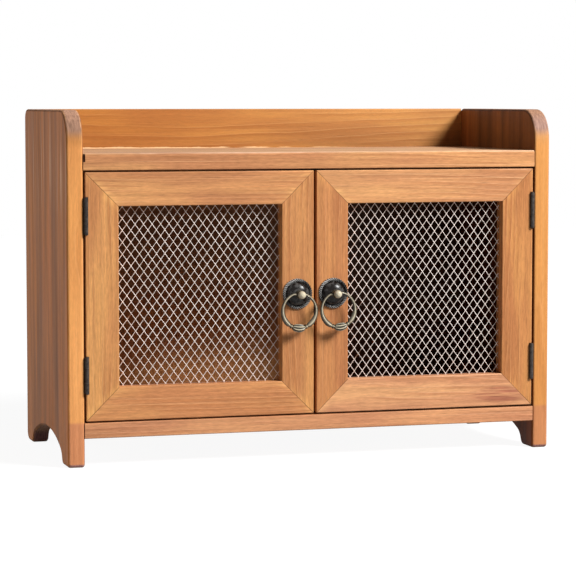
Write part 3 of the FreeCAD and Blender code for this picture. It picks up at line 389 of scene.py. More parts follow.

# %% [markdown]
# ### The layers of a finish
#
# The wood function stacks the layers in the order in which they come about: first the stain and the
# growth bands set the colour, then fibres, flecks and pores set the brightness, then the cut ends and
# the rubbed edges, which also carry a painted highlight, change both, and last come the marks. The
# gloss and the tiny relief use the same fibres, so that what is dark is also a little hollow, as in
# brushed and stained wood.

# %% Wood
def wood(
    name,
    grain,
    face,
    tone,
    seed,
    contrast=1.0,
    streaks=1.0,
    specular=0.18,
    width=5.0,
    slope=0.0,
    spread=1.0,
    roughness=0.36,
    marks=(),
):
    """Stained softwood whose fibres follow one axis and whose broad faces look along another.

    contrast is for the bands and streaks for the fibres. width is that of a growth band in mm, slope
    how far the bands lean, and spread makes the whole pattern coarser across the grain.
    """
    material, tree, shader = new_material(name)
    board = Board(tree, seed, grain, face, spread)
    late, pale = growth_bands(board, width, slope)

    # the stain's drift and the growth bands give the colour
    drift = step(tree, board.noise(0.008, 0.05, 2.0), 0.34, 0.66)
    drift = calc(tree, "MULTIPLY_ADD", drift, contrast, 0.5 - 0.5 * contrast)
    light_tone, dark_tone = tinted(tone, 1.13, 1.17, 1.12), tinted(tone, 0.87, 0.80, 0.84)
    late_tone, pale_tone = tinted(tone, 0.78, 0.68, 0.64), tinted(tone, 1.25, 1.42, 1.75)
    colour = mix(tree, drift, light_tone, dark_tone)
    colour = mix(tree, calc(tree, "MULTIPLY", late, 0.75 * contrast), colour, late_tone)
    colour = mix(tree, calc(tree, "MULTIPLY", pale, 0.75 * contrast), colour, pale_tone)
    line = step(tree, board.noise(0.0035, 0.7, 1.0), 0.63, 0.72)
    colour = mix(tree, calc(tree, "MULTIPLY", line, 0.6 * streaks), colour, tinted(tone, 1.2, 1.34, 1.55))

    # fibres, flecks and pores give the brightness
    fibres = board.noise(0.010, 0.40, 4.0, 0.70)
    flecks = board.noise(0.16, 0.95, 2.0, 0.6)
    pores = step(tree, board.noise(0.05, 1.1, 2.0, 0.6), 0.60, 0.74)
    light = calc(tree, "MULTIPLY", swing(tree, fibres, 0.80 * streaks), swing(tree, flecks, 0.60 * streaks))
    light = calc(tree, "MULTIPLY", light, calc(tree, "MULTIPLY_ADD", pores, -0.22 * streaks, 1.03))

    # end grain comes in gradually where an arc turns over
    cut = step(tree, calc(tree, "ABSOLUTE", board.facing[grain]), 0.02, 0.40)
    ends = swing(tree, board.noise(0.05, 0.9, 3.0, 0.6), 1.8)
    colour = mix(tree, cut, colour, tinted(tone, 0.61, 0.76, 1.62))
    light = calc(tree, "MULTIPLY", light, calc(tree, "SUBTRACT", 1.0, cut))
    light = calc(tree, "ADD", light, calc(tree, "MULTIPLY", ends, cut))

    # rounded edges are rubbed thin in places, and the paler edges also paint a highlight along them
    tilt = calc(tree, "ABSOLUTE", board.facing[face])
    rounded = calc(tree, "MULTIPLY", step(tree, tilt, 0.12, 0.5), step(tree, tilt, 0.96, 0.72))
    worn = step(tree, board.noise(0.03, 0.3, 3.0, 0.6), 0.42, 0.62)
    rubbed = calc(tree, "MULTIPLY", rounded, calc(tree, "MULTIPLY", worn, 0.45))
    colour = mix(tree, rubbed, colour, tinted(tone, 1.25, 1.45, 1.8))
    colour = mix(tree, 1.0, colour, light, "MULTIPLY")
    for mark in marks:
        colour = mark(board, colour)

    # gloss and relief follow the fibres
    tree.links.new(colour, shader.inputs["Base Color"])
    shader.inputs["Specular IOR Level"].default_value = specular
    gloss = calc(tree, "MULTIPLY_ADD", fibres, 0.3, roughness)
    tree.links.new(calc(tree, "MULTIPLY_ADD", cut, 0.2, gloss), shader.inputs["Roughness"])
    relief = calc(tree, "MULTIPLY_ADD", late, 0.3, calc(tree, "MULTIPLY", fibres, 0.9))
    relief = calc(tree, "SUBTRACT", relief, calc(tree, "MULTIPLY", pores, 0.5))
    bump = add_node(tree, "Bump", None, {"Strength": 0.4, "Distance": 0.0003, "Height": relief})
    tree.links.new(bump.outputs["Normal"], shader.inputs["Normal"])
    return material


print("layers of a wood: stain, growth bands, fibres, cut ends, rubbed edges, marks")

# %% [markdown]
# The frame's boards come with plain materials of their own. Dressing a board swaps that one for a
# finish, on the board's own mesh, so its shape and its place stay those of the frame.

# %% Dressing a board
def dress(node, material):
    """Gives a node of the frame one material."""
    obj = frame["nodes"][node]
    obj.data.materials.clear()
    obj.data.materials.append(material)


print("materials in the frame:", len({m for o in frame["nodes"].values() for m in o.data.materials}))

# %% [markdown]
# ### Marks
#
# The maker's work and years of use leave marks that belong to one place on a board. The two sides were
# dipped foot first, so the feet are browner up to a level line. Other marks are painted shade and light:
# the inner and outer faces of the sides are painted darker, the outer ones with streaks, and so are
# parts of the inside and the shelf's underside, the gallery gets a painted gradient, and the shelf's
# top a painted sheen. Something has drawn thin scratches down the outer faces. A mitre is never
# perfectly closed, so its line is a thin dark one, and the corners beside it are rubbed. Along the rear
# edge of the tray the lacquer has chipped off in a broken pale line. Beside a knot the grain is dark and
# streaky.
#
# Such marks could be painted by hand on an unwrapped board. As functions of place and direction they
# need no unwrapping, and stay where they are when a board changes its size. Each one multiplies or
# mixes the colour inside a mask. A mask is a product of soft steps, which is what inside() makes.

# %% Masks
ANYWHERE = (None, None, None)
GAP_TONE = rgb(0.05, 0.018, 0.006)
SCRATCH_TONE = rgb(0.85, 0.62, 0.42)
CHIPPED_TONE = rgb(0.93, 0.66, 0.36)


def inside(tree, share, *masks):
    """A share that is cut down by more masks."""
    for mask in masks:
        share = calc(tree, "MULTIPLY", share, mask)
    return share


def times(tree, colour, amount):
    """A colour that is multiplied by three numbers, or by another colour socket."""
    amount = rgb(*amount) if isinstance(amount, tuple) else amount
    return mix(tree, 1.0, colour, amount, "MULTIPLY")


print("tones of the marks:", GAP_TONE[:3], SCRATCH_TONE[:3], CHIPPED_TONE[:3])

# %% [markdown]
# Most marks are plain differences of shade. Some are the wood's own tone, such as a dipped foot's level
# edge, and many are painted shade and light, such as the darker faces of the sides that look away from
# the key lamp. One function shades by the direction a face looks in, and the other one shades inside a
# box whose sides may be left open.

# %% Shading of faces and boxes
def shaded_face(amount, outward):
    """Darkens the faces that look at the cabinet's middle plane (-1), or away from it (1)."""

    def mark(board, colour):
        tree = board.tree
        away = calc(tree, "MULTIPLY", board.facing["X"], calc(tree, "SIGN", board.spot["X"]))
        share = step(tree, calc(tree, "MULTIPLY", away, outward), 0.3, 0.95)
        streaks = swing(tree, board.noise(0.004, 0.16, 3.0, 0.55), 2.0)
        streaked = mix(tree, 1.0, rgb(*amount), streaks, "MULTIPLY")
        return mix(tree, share, colour, times(tree, colour, streaked))

    return mark


def shaded_box(amount, low=ANYWHERE, high=ANYWHERE, soft=0.6, facing=None):
    """Multiplies the colour by an amount inside a box in millimetres. None leaves a side open."""

    def mark(board, colour):
        tree = board.tree
        share = 1.0
        for axis, first, last in zip(AXES, low, high):
            spot = board.spot[axis]
            if first is not None:
                share = inside(tree, share, step(tree, spot, first - soft, first + soft))
            if last is not None:
                share = inside(tree, share, step(tree, spot, last + soft, last - soft))
        if facing:
            axis, sign = facing
            along = calc(tree, "MULTIPLY", board.facing[axis], sign)
            share = inside(tree, share, step(tree, along, 0.4, 0.9))
        return mix(tree, share, colour, times(tree, colour, amount))

    return mark


print("marks that shade: by direction, by box")

# %% [markdown]
# The other marks have a shape of their own. A mitre is where the distances to two edges of the door are
# equal, so its line needs no texture. Scratches are thin stretched noise that is kept between two
# heights, chipped lacquer is a strip with a noisy upper edge, and a knot's figure is a soft oval filled
# with streaks.

# %% Lines, scratches and knots
def mitre_lines(low, high, width=0.3, strength=0.8, reach=9.0):
    """Thin dark lines that leave a door's four corners at 45 degrees, with rubbed wood beside them."""
    middle, half = (low + high) / 2 / MM, (high - low) / 2 / MM

    def mark(board, colour):
        tree = board.tree
        inset = []
        for axis, centre, limit in (("X", middle.x, half.x), ("Z", middle.z, half.z)):
            away = calc(tree, "ABSOLUTE", calc(tree, "SUBTRACT", board.spot[axis], centre))
            inset.append(calc(tree, "SUBTRACT", limit, away))
        off = calc(tree, "ABSOLUTE", calc(tree, "SUBTRACT", *inset))
        blotches = noise(tree, stretch(tree, board.vector, (0.05, 0.05, 0.05), board.start), 1.0)
        uneven = step(tree, blotches, 0.3, 0.6)
        dark = calc(tree, "MULTIPLY_ADD", uneven, 0.6 * strength, 0.4 * strength)
        share = inside(tree, step(tree, off, width * 1.5, width * 0.5), dark)
        patches = step(tree, board.noise(0.04, 0.09, 2.0), 0.46, 0.64)
        beside = inside(tree, step(tree, off, reach, 0.0), patches)
        rubbed = times(tree, colour, (1.22, 1.32, 1.25))
        colour = mix(tree, calc(tree, "MULTIPLY", beside, 0.8), colour, rubbed)
        return mix(tree, share, colour, GAP_TONE)

    return mark


def pale_scratches(low, high, facing, fineness, strength):
    """A few thin pale lines along the grain, between two heights, on faces that look one way."""

    def mark(board, colour):
        tree = board.tree
        lines = step(tree, board.noise(0.006, fineness, 1.0), 0.57, 0.72)
        height = calc(tree, "MULTIPLY_ADD", board.noise(0.01, 0.3, 2.0), 90.0, board.spot["Z"])
        zone = band(tree, height, low + 45.0, high + 45.0, 30.0)
        axis, sign = facing
        outer = step(tree, calc(tree, "MULTIPLY", board.facing[axis], sign), 0.6, 0.9)
        share = inside(tree, lines, zone, strength, outer)
        return mix(tree, share, colour, SCRATCH_TONE)

    return mark


def torn_line(height, last_x):
    """A broken pale line just above a height, where lacquer has chipped along a joint."""

    def mark(board, colour):
        tree = board.tree
        top = calc(tree, "MULTIPLY_ADD", board.noise(0.05, 0.05, 3.0, 0.7), 2.6, height - 0.3)
        share = inside(
            tree,
            step(tree, calc(tree, "SUBTRACT", top, board.spot["Z"]), 0.0, 0.5),
            step(tree, board.noise(0.025, 0.02, 2.0), 0.36, 0.48),
            step(tree, board.spot["X"], last_x + 40.0, last_x - 40.0),
            step(tree, board.spot["Z"], height - 0.4, height),
            step(tree, board.facing["Y"], -0.6, -0.9),
        )
        return mix(tree, calc(tree, "MULTIPLY", share, 0.85), colour, CHIPPED_TONE)

    return mark


def dark_figure(centre, half, amount):
    """A streaky dark spot round a place in X and Z, as beside a knot."""

    def mark(board, colour):
        tree = board.tree
        parts = []
        for axis, middle, reach in zip("XZ", centre, half):
            off = calc(tree, "DIVIDE", calc(tree, "SUBTRACT", board.spot[axis], middle), reach)
            parts.append(calc(tree, "MULTIPLY", off, off))
        near = step(tree, calc(tree, "ADD", *parts), 1.2, 0.2)
        streaky = step(tree, board.noise(0.02, 0.40, 3.0), 0.40, 0.60)
        share = inside(tree, near, streaky)
        return mix(tree, share, colour, times(tree, colour, amount))

    return mark


print("marks with a shape: mitre lines, pale scratches, torn line, dark figure")

# %% [markdown]
# ### Sides
#
# The sides are the thickest boards, with upright grain. Their front edges are light and their arcs at
# the top front are end grain. Their faces are painted dark inside and painted browner and streaked
# outside: painted shade of faces that look away from the key lamp, with the wood's own streaks. Below
# the shelf the right side's inner face is painted darker still, as painted shade inside the cabinet, and
# on the inner face of the right foot part of the painted shade is lifted again. The two are not twins:
# the left one is lighter, has more scratches and a darker arc. Both use the same list of marks, and each
# adds its own two.

# %% Side boards
FOOT_LINE = 35.0
ARC_LINE = 252.0
FRONT, UP, DOWN, LEFT = ("Y", -1), ("Z", 1), ("Z", -1), ("X", -1)
SIDE_TONE = {"left": rgb(0.74, 0.325, 0.100), "right": rgb(0.60, 0.258, 0.075)}
SIDE_SEED = {"left": 11, "right": 12}
SCRATCHES = {"left": (0.7, 0.55), "right": (1.5, 0.25)}
FOOT_FRONT, FOOT_INSIDE = (0.77, 0.70, 0.95), (1.9, 1.75, 1.5)
INNER_FACE_SHADE, OUTER_FACE_SHADE = (0.34, 0.26, 0.24), (0.56, 0.44, 0.35)
shelf_bottom, shelf_top = shelf_low.z / MM, shelf_high.z / MM
under_shelf = (None, None, shelf_bottom + 2)
at_feet = (None, None, FOOT_LINE)
own_marks = {
    "left": [
        shaded_box((0.70, 0.71, 0.71), (None, None, ARC_LINE), soft=7.0, facing=FRONT),
        shaded_box((1.16, 1.20, 1.26), high=(None, None, 120.0), soft=60.0, facing=FRONT),
    ],
    "right": [
        shaded_box((0.92, 1.01, 1.25), (None, None, ARC_LINE), soft=7.0, facing=FRONT),
        shaded_box((1.10, 1.14, 1.22), high=at_feet, soft=1.6, facing=FRONT),
    ],
}
for side, sign in SIDES.items():
    marks = [
        shaded_box(FOOT_FRONT, high=at_feet, soft=1.6, facing=FRONT),
        # lifts part of the painted shade again, on the inner face of the right foot
        shaded_box(FOOT_INSIDE, (0.0, None, None), at_feet, soft=3.0, facing=LEFT),
        # painted shade: the faces of both sides that look inwards and outwards are painted darker, made for
        # the faces that look away from the key lamp; the outer ones are also streaked
        shaded_face(INNER_FACE_SHADE, -1),
        shaded_face(OUTER_FACE_SHADE, 1),
        # painted shade: below the shelf, inside the cabinet, the right side's inner face is painted darker
        # still
        shaded_box((0.45, 0.40, 0.40), (0.0, None, None), (188.0, None, shelf_bottom + 2), facing=LEFT),
        pale_scratches(205.0, 258.0, ("X", sign), *SCRATCHES[side]),
    ]
    look = {"contrast": 0.35, "streaks": 0.6, "specular": 0.06, "width": 6.0, "spread": 2.6}
    marks += own_marks[side]
    side_wood = wood(f"{side}_side_wood", "Z", "X", SIDE_TONE[side], SIDE_SEED[side], marks=marks, **look)
    dress(f"{side}_side_panel", side_wood)
print("sides dressed, foot line at", FOOT_LINE, "mm")

# %% [markdown]
# ### Shelf, bottom board and back
#
# These boards have level grain. The back board is the most orange one, and the shelf and the bottom
# board are the palest. The shelf's top is painted paler, a painted sheen of the light that grazes it,
# and it is duller than the rest; its underside is painted darker, as painted shade. A short open slot
# shows at the left end of its front edge. The back board is painted darker to the left and its gallery
# paler to the right, a painted gradient of light. Below the shelf the back board is painted darker
# towards the top and towards the right, and the bottom board's top towards the right: painted shade
# inside the cabinet.

# %% Level boards
SHELF_TONE = rgb(0.558, 0.261, 0.111)
BOTTOM_TONE = rgb(0.58, 0.265, 0.125)
BACK_TONE = rgb(0.565, 0.26, 0.075)
SHELF_UNDERSIDE_SHADE = (0.36, 0.34, 0.40)
SLOT, SLOT_WIDTH, SLOT_BOTTOM, SLOT_TOP = (0.03, 0.02, 0.02), 1.6, 237.0, 244.5
slot_end = shelf_low.x / MM + SLOT_WIDTH
shelf_marks = [
    # painted sheen: the shelf's top is painted paler where the light grazes it
    shaded_box((1.08, 1.34, 1.75), facing=UP),
    # painted shade: the shelf's underside, inside the cabinet, is painted darker
    shaded_box(SHELF_UNDERSIDE_SHADE, facing=DOWN),
    shaded_box(SLOT, (None, None, SLOT_BOTTOM), (slot_end, None, SLOT_TOP), soft=0.2, facing=FRONT),
]
shelf_look = {"specular": 0.04, "roughness": 0.6, "marks": shelf_marks}
dress("top_shelf", wood("shelf_wood", "X", "Y", SHELF_TONE, 21, **shelf_look))

bottom_marks = [
    shaded_box((0.75, 0.70, 0.62), facing=UP),
    # painted shade: the bottom board's top is painted darker towards the right, inside the cabinet
    shaded_box((0.5, 0.45, 0.4), (30.0, None, None), soft=60.0, facing=UP),
]
dress("bottom_board", wood("bottom_wood", "X", "Y", BOTTOM_TONE, 22, contrast=0.8, marks=bottom_marks))

back_marks = [
    # painted shade: the back board is painted darker towards the left
    shaded_box((0.91, 0.76, 0.58), high=(-20.0, None, None), soft=150.0),
    # painted light: the gallery above the shelf is painted paler towards the right
    shaded_box((1.15, 1.18, 1.25), (60.0, None, shelf_top), soft=60.0),
    shaded_box((0.95, 1.05, 1.6), high=under_shelf, facing=FRONT),
    # painted shade: inside the cabinet the back board is painted darker towards the shelf above it
    shaded_box((0.42, 0.38, 0.34), (None, None, 130.0), under_shelf, soft=70.0, facing=FRONT),
    # painted shade: inside the cabinet the back board is painted darker towards the right
    shaded_box((0.20, 0.15, 0.13), (26.0, None, None), under_shelf, soft=60.0, facing=FRONT),
    torn_line(shelf_top, 60.0),
]
back_look = {"contrast": 0.9, "streaks": 0.45, "width": 9.0, "slope": -0.045, "marks": back_marks}
dress("back_panel", wood("back_wood", "X", "Y", BACK_TONE, 23, **back_look))
print("shelf from", round(shelf_bottom, 1), "to", round(shelf_top, 1), "mm")

# %% [markdown]
# ### Doors
#
# Rails run level and stiles upright, and the mitres between them show as thin lines. No two sticks of
# wood are quite the same colour, so every member has its own tone. The right bottom rail was sawn next
# to a knot, so it has dark streaks near its outer end.

# %% Door members
MEMBERS = {
    "top_rail": "X",
    "bottom_rail": "X",
    "hinge_stile": "Z",
    "lock_stile": "Z",
    "mesh_beads": "Z",
}
MEMBER_TONES = {
    "left_top_rail": rgb(0.56, 0.255, 0.10),
    "left_bottom_rail": rgb(0.605, 0.27, 0.103),
    "left_hinge_stile": rgb(0.59, 0.268, 0.094),
    "left_lock_stile": rgb(0.53, 0.237, 0.085),
    "left_mesh_beads": rgb(0.55, 0.24, 0.09),
    "right_top_rail": rgb(0.56, 0.265, 0.110),
    "right_bottom_rail": rgb(0.61, 0.297, 0.14),
    "right_hinge_stile": rgb(0.48, 0.20, 0.066),
    "right_lock_stile": rgb(0.475, 0.195, 0.072),
    "right_mesh_beads": rgb(0.55, 0.24, 0.09),
}
SLOPES = {
    "top_rail": 0.02,
    "bottom_rail": 0.05,
    "hinge_stile": 0.0,
    "lock_stile": 0.015,
    "mesh_beads": 0.0,
}
print("door members:", len(MEMBER_TONES))

# %% [markdown]
# Each member's grain follows its own length, and its bands lean a little differently. The mitre marks
# need the outline of the whole door, which is the box over its four frame members.

# %% Dressing the doors
FIRST_DOOR_SEED = 46
KNOT = dark_figure((158.0, 45.0), (26.0, 8.0), (0.66, 0.52, 0.58))


def door_box(side):
    """Corners of a door's frame, over its four members."""
    boxes = [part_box(f"{side}_{member}") for member in list(MEMBERS)[:4]]
    low = Vector([min(b[0][i] for b in boxes) for i in range(3)])
    high = Vector([max(b[1][i] for b in boxes) for i in range(3)])
    return low, high


for seed, (node, tone) in enumerate(MEMBER_TONES.items(), start=FIRST_DOOR_SEED):
    side, member = node.split("_", 1)
    marks = [mitre_lines(*door_box(side))]
    if node == "right_bottom_rail":
        marks.append(KNOT)
    door_wood = wood(f"{node}_wood", MEMBERS[member], "Y", tone, seed, slope=SLOPES[member], marks=marks)
    dress(node, door_wood)
print("wood materials:", sum(m.name.endswith("_wood") for m in bpy.data.materials))


# %% [markdown]
# ## Metals and small fittings
#
# Cast pulls are never one colour: the high spots are rubbed bright and the hollows keep their dark
# patina. One function mixes two tones by noise and by how much a spot is sheltered, which is close to
# what polishing does. For the pulls the mesh itself says where the bright tone goes, with a number
# called rub_and_glint at every point: it marks where hands rub, and it also holds painted highlights
# on the rose's teeth, the balls, the rings and the beads. An Ambient Occlusion node alone can't tell a
# tooth's crest from its flank. What is bright by that number is also glossier than the patina.
#
# A full metal would show the white studio as an even grey. Patina and black lacquer are dark skins with
# a clear shine, so the pulls and hinges aren't metallic, and the lamp makes most of their highlights.

# %% Metal function
HOLLOW_WIDTH = 0.0022


def metal(
    name,
    bright,
    dark,
    roughness,
    spots=260.0,
    shelter=0.0,
    metallic=1.0,
    shine=0.5,
    relief=0.2,
    rubbed=False,
):
    """Metal with a patina.

    spots is how many blotches go to a metre, and shelter how far hollows are filled with the dark tone.
    A rubbed metal shows its bright tone where the mesh says: polish by hands and painted highlights.
    """
    material, tree, shader = new_material(name)
    place = add_node(tree, "TexCoord").outputs["Object"]
    blotch = noise(tree, stretch(tree, place, (spots,) * 3), 4.0, 0.6)
    share = step(tree, blotch, 0.38, 0.66)
    if rubbed:
        rub_and_glint = add_node(tree, "Attribute", {"attribute_name": "rub_and_glint"}).outputs["Fac"]
        kept = calc(tree, "SUBTRACT", 1.0, rub_and_glint)
        share = calc(tree, "MULTIPLY_ADD", calc(tree, "SUBTRACT", share, 0.5), 0.12, kept, clamp=True)
    if shelter:
        hollow = add_node(tree, "AmbientOcclusion", {"samples": 8}, {"Distance": HOLLOW_WIDTH})
        open_share = calc(tree, "POWER", hollow.outputs["AO"], 1.8)
        sheltered = calc(tree, "MULTIPLY", calc(tree, "SUBTRACT", 1.0, open_share), shelter)
        blotched = calc(tree, "MULTIPLY", share, 1.0 if rubbed else 0.45)
        share = calc(tree, "ADD", blotched, sheltered, clamp=True)
    tree.links.new(mix(tree, share, bright, dark), shader.inputs["Base Color"])
    shader.inputs["Metallic"].default_value = metallic
    if rubbed:
        polished = calc(tree, "MULTIPLY_ADD", share, -0.5 * shine, shine)
        tree.links.new(polished, shader.inputs["Specular IOR Level"])
    else:
        shader.inputs["Specular IOR Level"].default_value = shine
    fine = noise(tree, stretch(tree, place, (spots * 6,) * 3), 3.0, 0.6)
    rough = calc(tree, "MULTIPLY_ADD", fine, 0.18, roughness - 0.09)
    tree.links.new(calc(tree, "MULTIPLY_ADD", share, 0.12, rough), shader.inputs["Roughness"])
    bump = add_node(tree, "Bump", None, {"Strength": relief, "Distance": 0.0001, "Height": fine})
    tree.links.new(bump.outputs["Normal"], shader.inputs["Normal"])
    return material


print("hollows up to about", round(HOLLOW_WIDTH / MM, 1), "mm wide keep their patina")

# %% [markdown]
# Six metals come from the function. The brass of posts and rings is rubbed to a pale straw colour, which
# also serves for their painted highlights, the bronze of the roses is nearly black with a near-white
# tone for the painted highlights on its teeth, the hinges are black all over, and the mesh has a warm
# white coat with duller spots. The screws, nails and strike plates are plated with zinc, and the
# magnets are dull sintered ferrite.

# %% Metals
antique_brass = metal(
    "antique_brass",
    # rubbed brass, and also the colour of the painted highlights on balls, rings and beads
    bright=rgb(0.60, 0.53, 0.38),
    dark=rgb(0.022, 0.017, 0.010),
    roughness=0.16,
    shelter=0.6,
    metallic=0.0,
    shine=0.36,
    relief=0.1,
    rubbed=True,
)
dark_bronze = metal(
    "dark_bronze",
    # the near-white tone is the painted highlight on the teeth
    bright=rgb(0.95, 0.93, 0.90),
    dark=rgb(0.006, 0.0035, 0.0025),
    roughness=0.12,
    metallic=0.0,
    shine=0.40,
    relief=0.08,
    rubbed=True,
)
black_steel = metal(
    "black_steel",
    bright=rgb(0.060, 0.048, 0.040),
    dark=rgb(0.014, 0.011, 0.010),
    roughness=0.34,
    spots=420.0,
    metallic=0.0,
    shine=0.25,
)
mesh_steel = metal(
    "mesh_steel",
    bright=rgb(0.98, 0.87, 0.80),
    dark=rgb(0.76, 0.66, 0.59),
    roughness=0.42,
    spots=90.0,
    metallic=0.1,
    shine=0.3,
)
zinc = metal("zinc_plate", rgb(0.66, 0.66, 0.64), rgb(0.40, 0.40, 0.39), 0.35)
ferrite = metal("ferrite", rgb(0.09, 0.09, 0.095), rgb(0.05, 0.05, 0.052), 0.6, metallic=0.3)
print("metals:", ", ".join(m.name for m in (antique_brass, dark_bronze, black_steel, mesh_steel)))

# %% [markdown]
# ### Plastic
#
# The housing of the magnetic catch under the shelf is moulded plastic. A mould leaves a fine even grain
# and a slightly cloudy colour, so two noises are enough: one for the relief and one for the tone.

# %% Plastic
def moulded(name, tone):
    """Moulded plastic with the fine grain of its tool."""
    material, tree, shader = new_material(name)
    place = add_node(tree, "TexCoord").outputs["Object"]
    grainy = noise(tree, stretch(tree, place, (2200,) * 3), 3.0, 0.6)
    cloudy = noise(tree, stretch(tree, place, (60,) * 3), 2.0)
    tree.links.new(mix(tree, cloudy, tone, tinted(tone, 0.8)), shader.inputs["Base Color"])
    tree.links.new(calc(tree, "MULTIPLY_ADD", grainy, 0.2, 0.4), shader.inputs["Roughness"])
    bump = add_node(tree, "Bump", None, {"Strength": 0.3, "Distance": 0.0001, "Height": grainy})
    tree.links.new(bump.outputs["Normal"], shader.inputs["Normal"])
    return material


brown_plastic = moulded("brown_plastic", rgb(0.09, 0.045, 0.022))
print("plastic:", brown_plastic.name)

# %% [markdown]
# ### Small fittings
#
# Most small fittings hide behind the doors or inside the boards: beech dowels, nails, screws, hinge
# leaves, the catch and its strike plates. They are already right in the frame, so they only get their
# finishes, from one table. Pieces that are replaced further down are in the table too, so that no node
# stays bare.

# %% Fittings
beech = wood("beech", "X", "Y", rgb(0.60, 0.42, 0.26), 77, contrast=0.5)
FITTINGS = {
    "shelf_dowels": beech,
    "bottom_dowels": beech,
    "back_panel_nails": zinc,
    "catch_housing": brown_plastic,
    "catch_magnets": ferrite,
    "catch_screws": zinc,
}
for side in SIDES:
    for level in ("upper", "lower"):
        for piece in ("carcass_leaf", "door_leaf", "hinge_pin"):
            FITTINGS[f"{side}_{level}_{piece}"] = black_steel
    for piece in ("carcass_hinge_screws", "door_hinge_screws"):
        FITTINGS[f"{side}_{piece}"] = black_steel
    for piece in ("mitre_nails", "bead_pins", "strike_plate", "strike_screws", "pull_screw", "mesh_panel"):
        FITTINGS[f"{side}_{piece}"] = zinc
    for piece in ("pull_rose", "pull_post", "pull_ring"):
        FITTINGS[f"{side}_{piece}"] = antique_brass
for node, material in FITTINGS.items():
    dress(node, material)
print("fittings dressed:", len(FITTINGS))

# %% [markdown]
# ## Meshes from rings of points
#
# Turned and cast pieces are all skins stretched over a row of closed loops: a lathe piece has round
# loops, the ring pull has loops that follow a circle. One helper builds the skin from a table of
# points with as many rows as there are loops. A Screw modifier could turn the lathe pieces, but not
# cut teeth into a rim or flutes into a bead, so plain loops serve them all. The helper also stores the
# rub_and_glint numbers that the metals read: where hands rub, and where a highlight is painted.

# %% Loop skins
MERGE_DISTANCE = 1e-7


def finish_piece(name, mesh, body, smooth_angle=35.0):
    """Outward faces, smooth shading up to an angle, and a body to ride on."""
    work = bmesh.new()
    work.from_mesh(mesh)
    bmesh.ops.remove_doubles(work, verts=work.verts, dist=MERGE_DISTANCE)
    bmesh.ops.recalc_face_normals(work, faces=work.faces)
    work.to_mesh(mesh)
    work.free()
    mesh.shade_smooth()
    mesh.set_sharp_from_angle(angle=math.radians(smooth_angle))
    obj = link(bpy.data.objects.new(name, mesh))
    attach(obj, body)
    return obj


def skin(name, loops, rub_and_glint, material, body, closed_ends=True, smooth_angle=35.0):
    """A mesh over a row of closed loops, given as an array of loops by points by coordinates.

    rub_and_glint says for every point, from 0 to 1, how far it is polished or carries a painted highlight.
    """
    rows, points = loops.shape[:2]
    faces = []
    for row in range(rows - 1):
        for i in range(points):
            j = (i + 1) % points
            a, b = row * points, (row + 1) * points
            faces.append((a + i, a + j, b + j, b + i))
    if closed_ends:
        faces.append(tuple(range(points))[::-1])
        faces.append(tuple((rows - 1) * points + i for i in range(points)))
    mesh = bpy.data.meshes.new(name)
    mesh.from_pydata([tuple(v) for v in loops.reshape(-1, 3)], [], faces)
    polish = mesh.attributes.new("rub_and_glint", "FLOAT", "POINT")
    polish.data.foreach_set("value", rub_and_glint.astype(np.float32).ravel())
    mesh.materials.append(material)
    return finish_piece(name, mesh, body, smooth_angle)


print("points closer than", MERGE_DISTANCE, "m become one")

# %% [markdown]
# Lathe pieces are described as a turner would: by a profile of radii and heights over the door's face.
# An arc helper adds round parts to a profile, and a shape function may push single points of a loop in
# and out, which is how the teeth are cut.

# %% Turned pieces
def turned(profile, place, around, shape=None):
    """Loops of a lathe piece whose axis points to the front from a place.

    profile has (radius, height) pairs. shape may change a loop: it gets the angles, radii and heights
    and returns new radii, new heights and how far the loop is turned.
    """
    angles = np.linspace(0, 2 * math.pi, around, endpoint=False)
    loops = []
    for radius, height in profile:
        radii, heights, turned_by = np.full(around, radius), np.full(around, height), 0
        if shape:
            radii, heights, turned_by = shape(angles, radii, heights)
        x = place.x + radii * np.cos(angles + turned_by) * MM
        z = place.z + radii * np.sin(angles + turned_by) * MM
        y = place.y - heights * MM
        loops.append(np.stack([x, y, z], axis=1))
    return np.array(loops)


def arc(centre, radius, first, last, count):
    """Points on an arc in a profile, in degrees from the radial direction."""
    spots = np.radians(np.linspace(first, last, count))
    return [(centre[0] + radius * math.cos(a), centre[1] + radius * math.sin(a)) for a in spots]


print("a quarter round of 1 mm:", [(round(r, 2), round(h, 2)) for r, h in arc((0, 0), 1, 0, 90, 3)])

# %% [markdown]
# ## The pulls
#
# Each pull has three cast pieces. The rose is a dish with a coin-like rim and a broad dome. The post
# sits on it, holds the ring's two ends in an eye and ends in a ball. The ring is thin at its ends,
# swells towards the bottom and carries a fluted bead between two small collars.
#
# The rose is turned with 400 points to a loop, ten to each of its 40 teeth. Close to the rim the loop
# is pressed in and lowered between the teeth, and the teeth lean over like the strands of a rope. A
# bump map would be cheaper, but a bump has no outline, and the teeth show against the door. The crests
# get a painted highlight, brightest at the upper left and a little at the bottom, where they catch light.

# %% Teeth
TEETH = 40
TOOTH_POINTS = 10
TOOTH_ZONE = (9.9, 10.3)
TOOTH_LEAN = 0.09
TOOTH_DEPTH = 0.6
TOOTH_DROP = 0.7
ROSE_RADIUS = 12.3


def pull_place(side):
    """Where a pull's axis meets the door's face."""
    low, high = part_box(f"{side}_pull_rose")
    return Vector(((low.x + high.x) / 2, high.y, (low.z + high.z) / 2))


def toothed(angles, radii, heights):
    """Presses the rim in between the teeth."""
    start, full = TOOTH_ZONE
    weight = np.clip((radii - start) / (full - start), 0, 1)
    lean = TOOTH_LEAN * weight * (radii - start)
    tooth = np.clip((0.5 + 0.5 * np.cos(angles * TEETH)) * 1.35 - 0.2, 0, 1)
    gap = (1 - tooth) * weight
    return radii - TOOTH_DEPTH * gap * (radii > full), heights * (1 - TOOTH_DROP * gap), lean


print("teeth", round(2 * math.pi * ROSE_RADIUS / TEETH, 2), "mm apart at the rim")

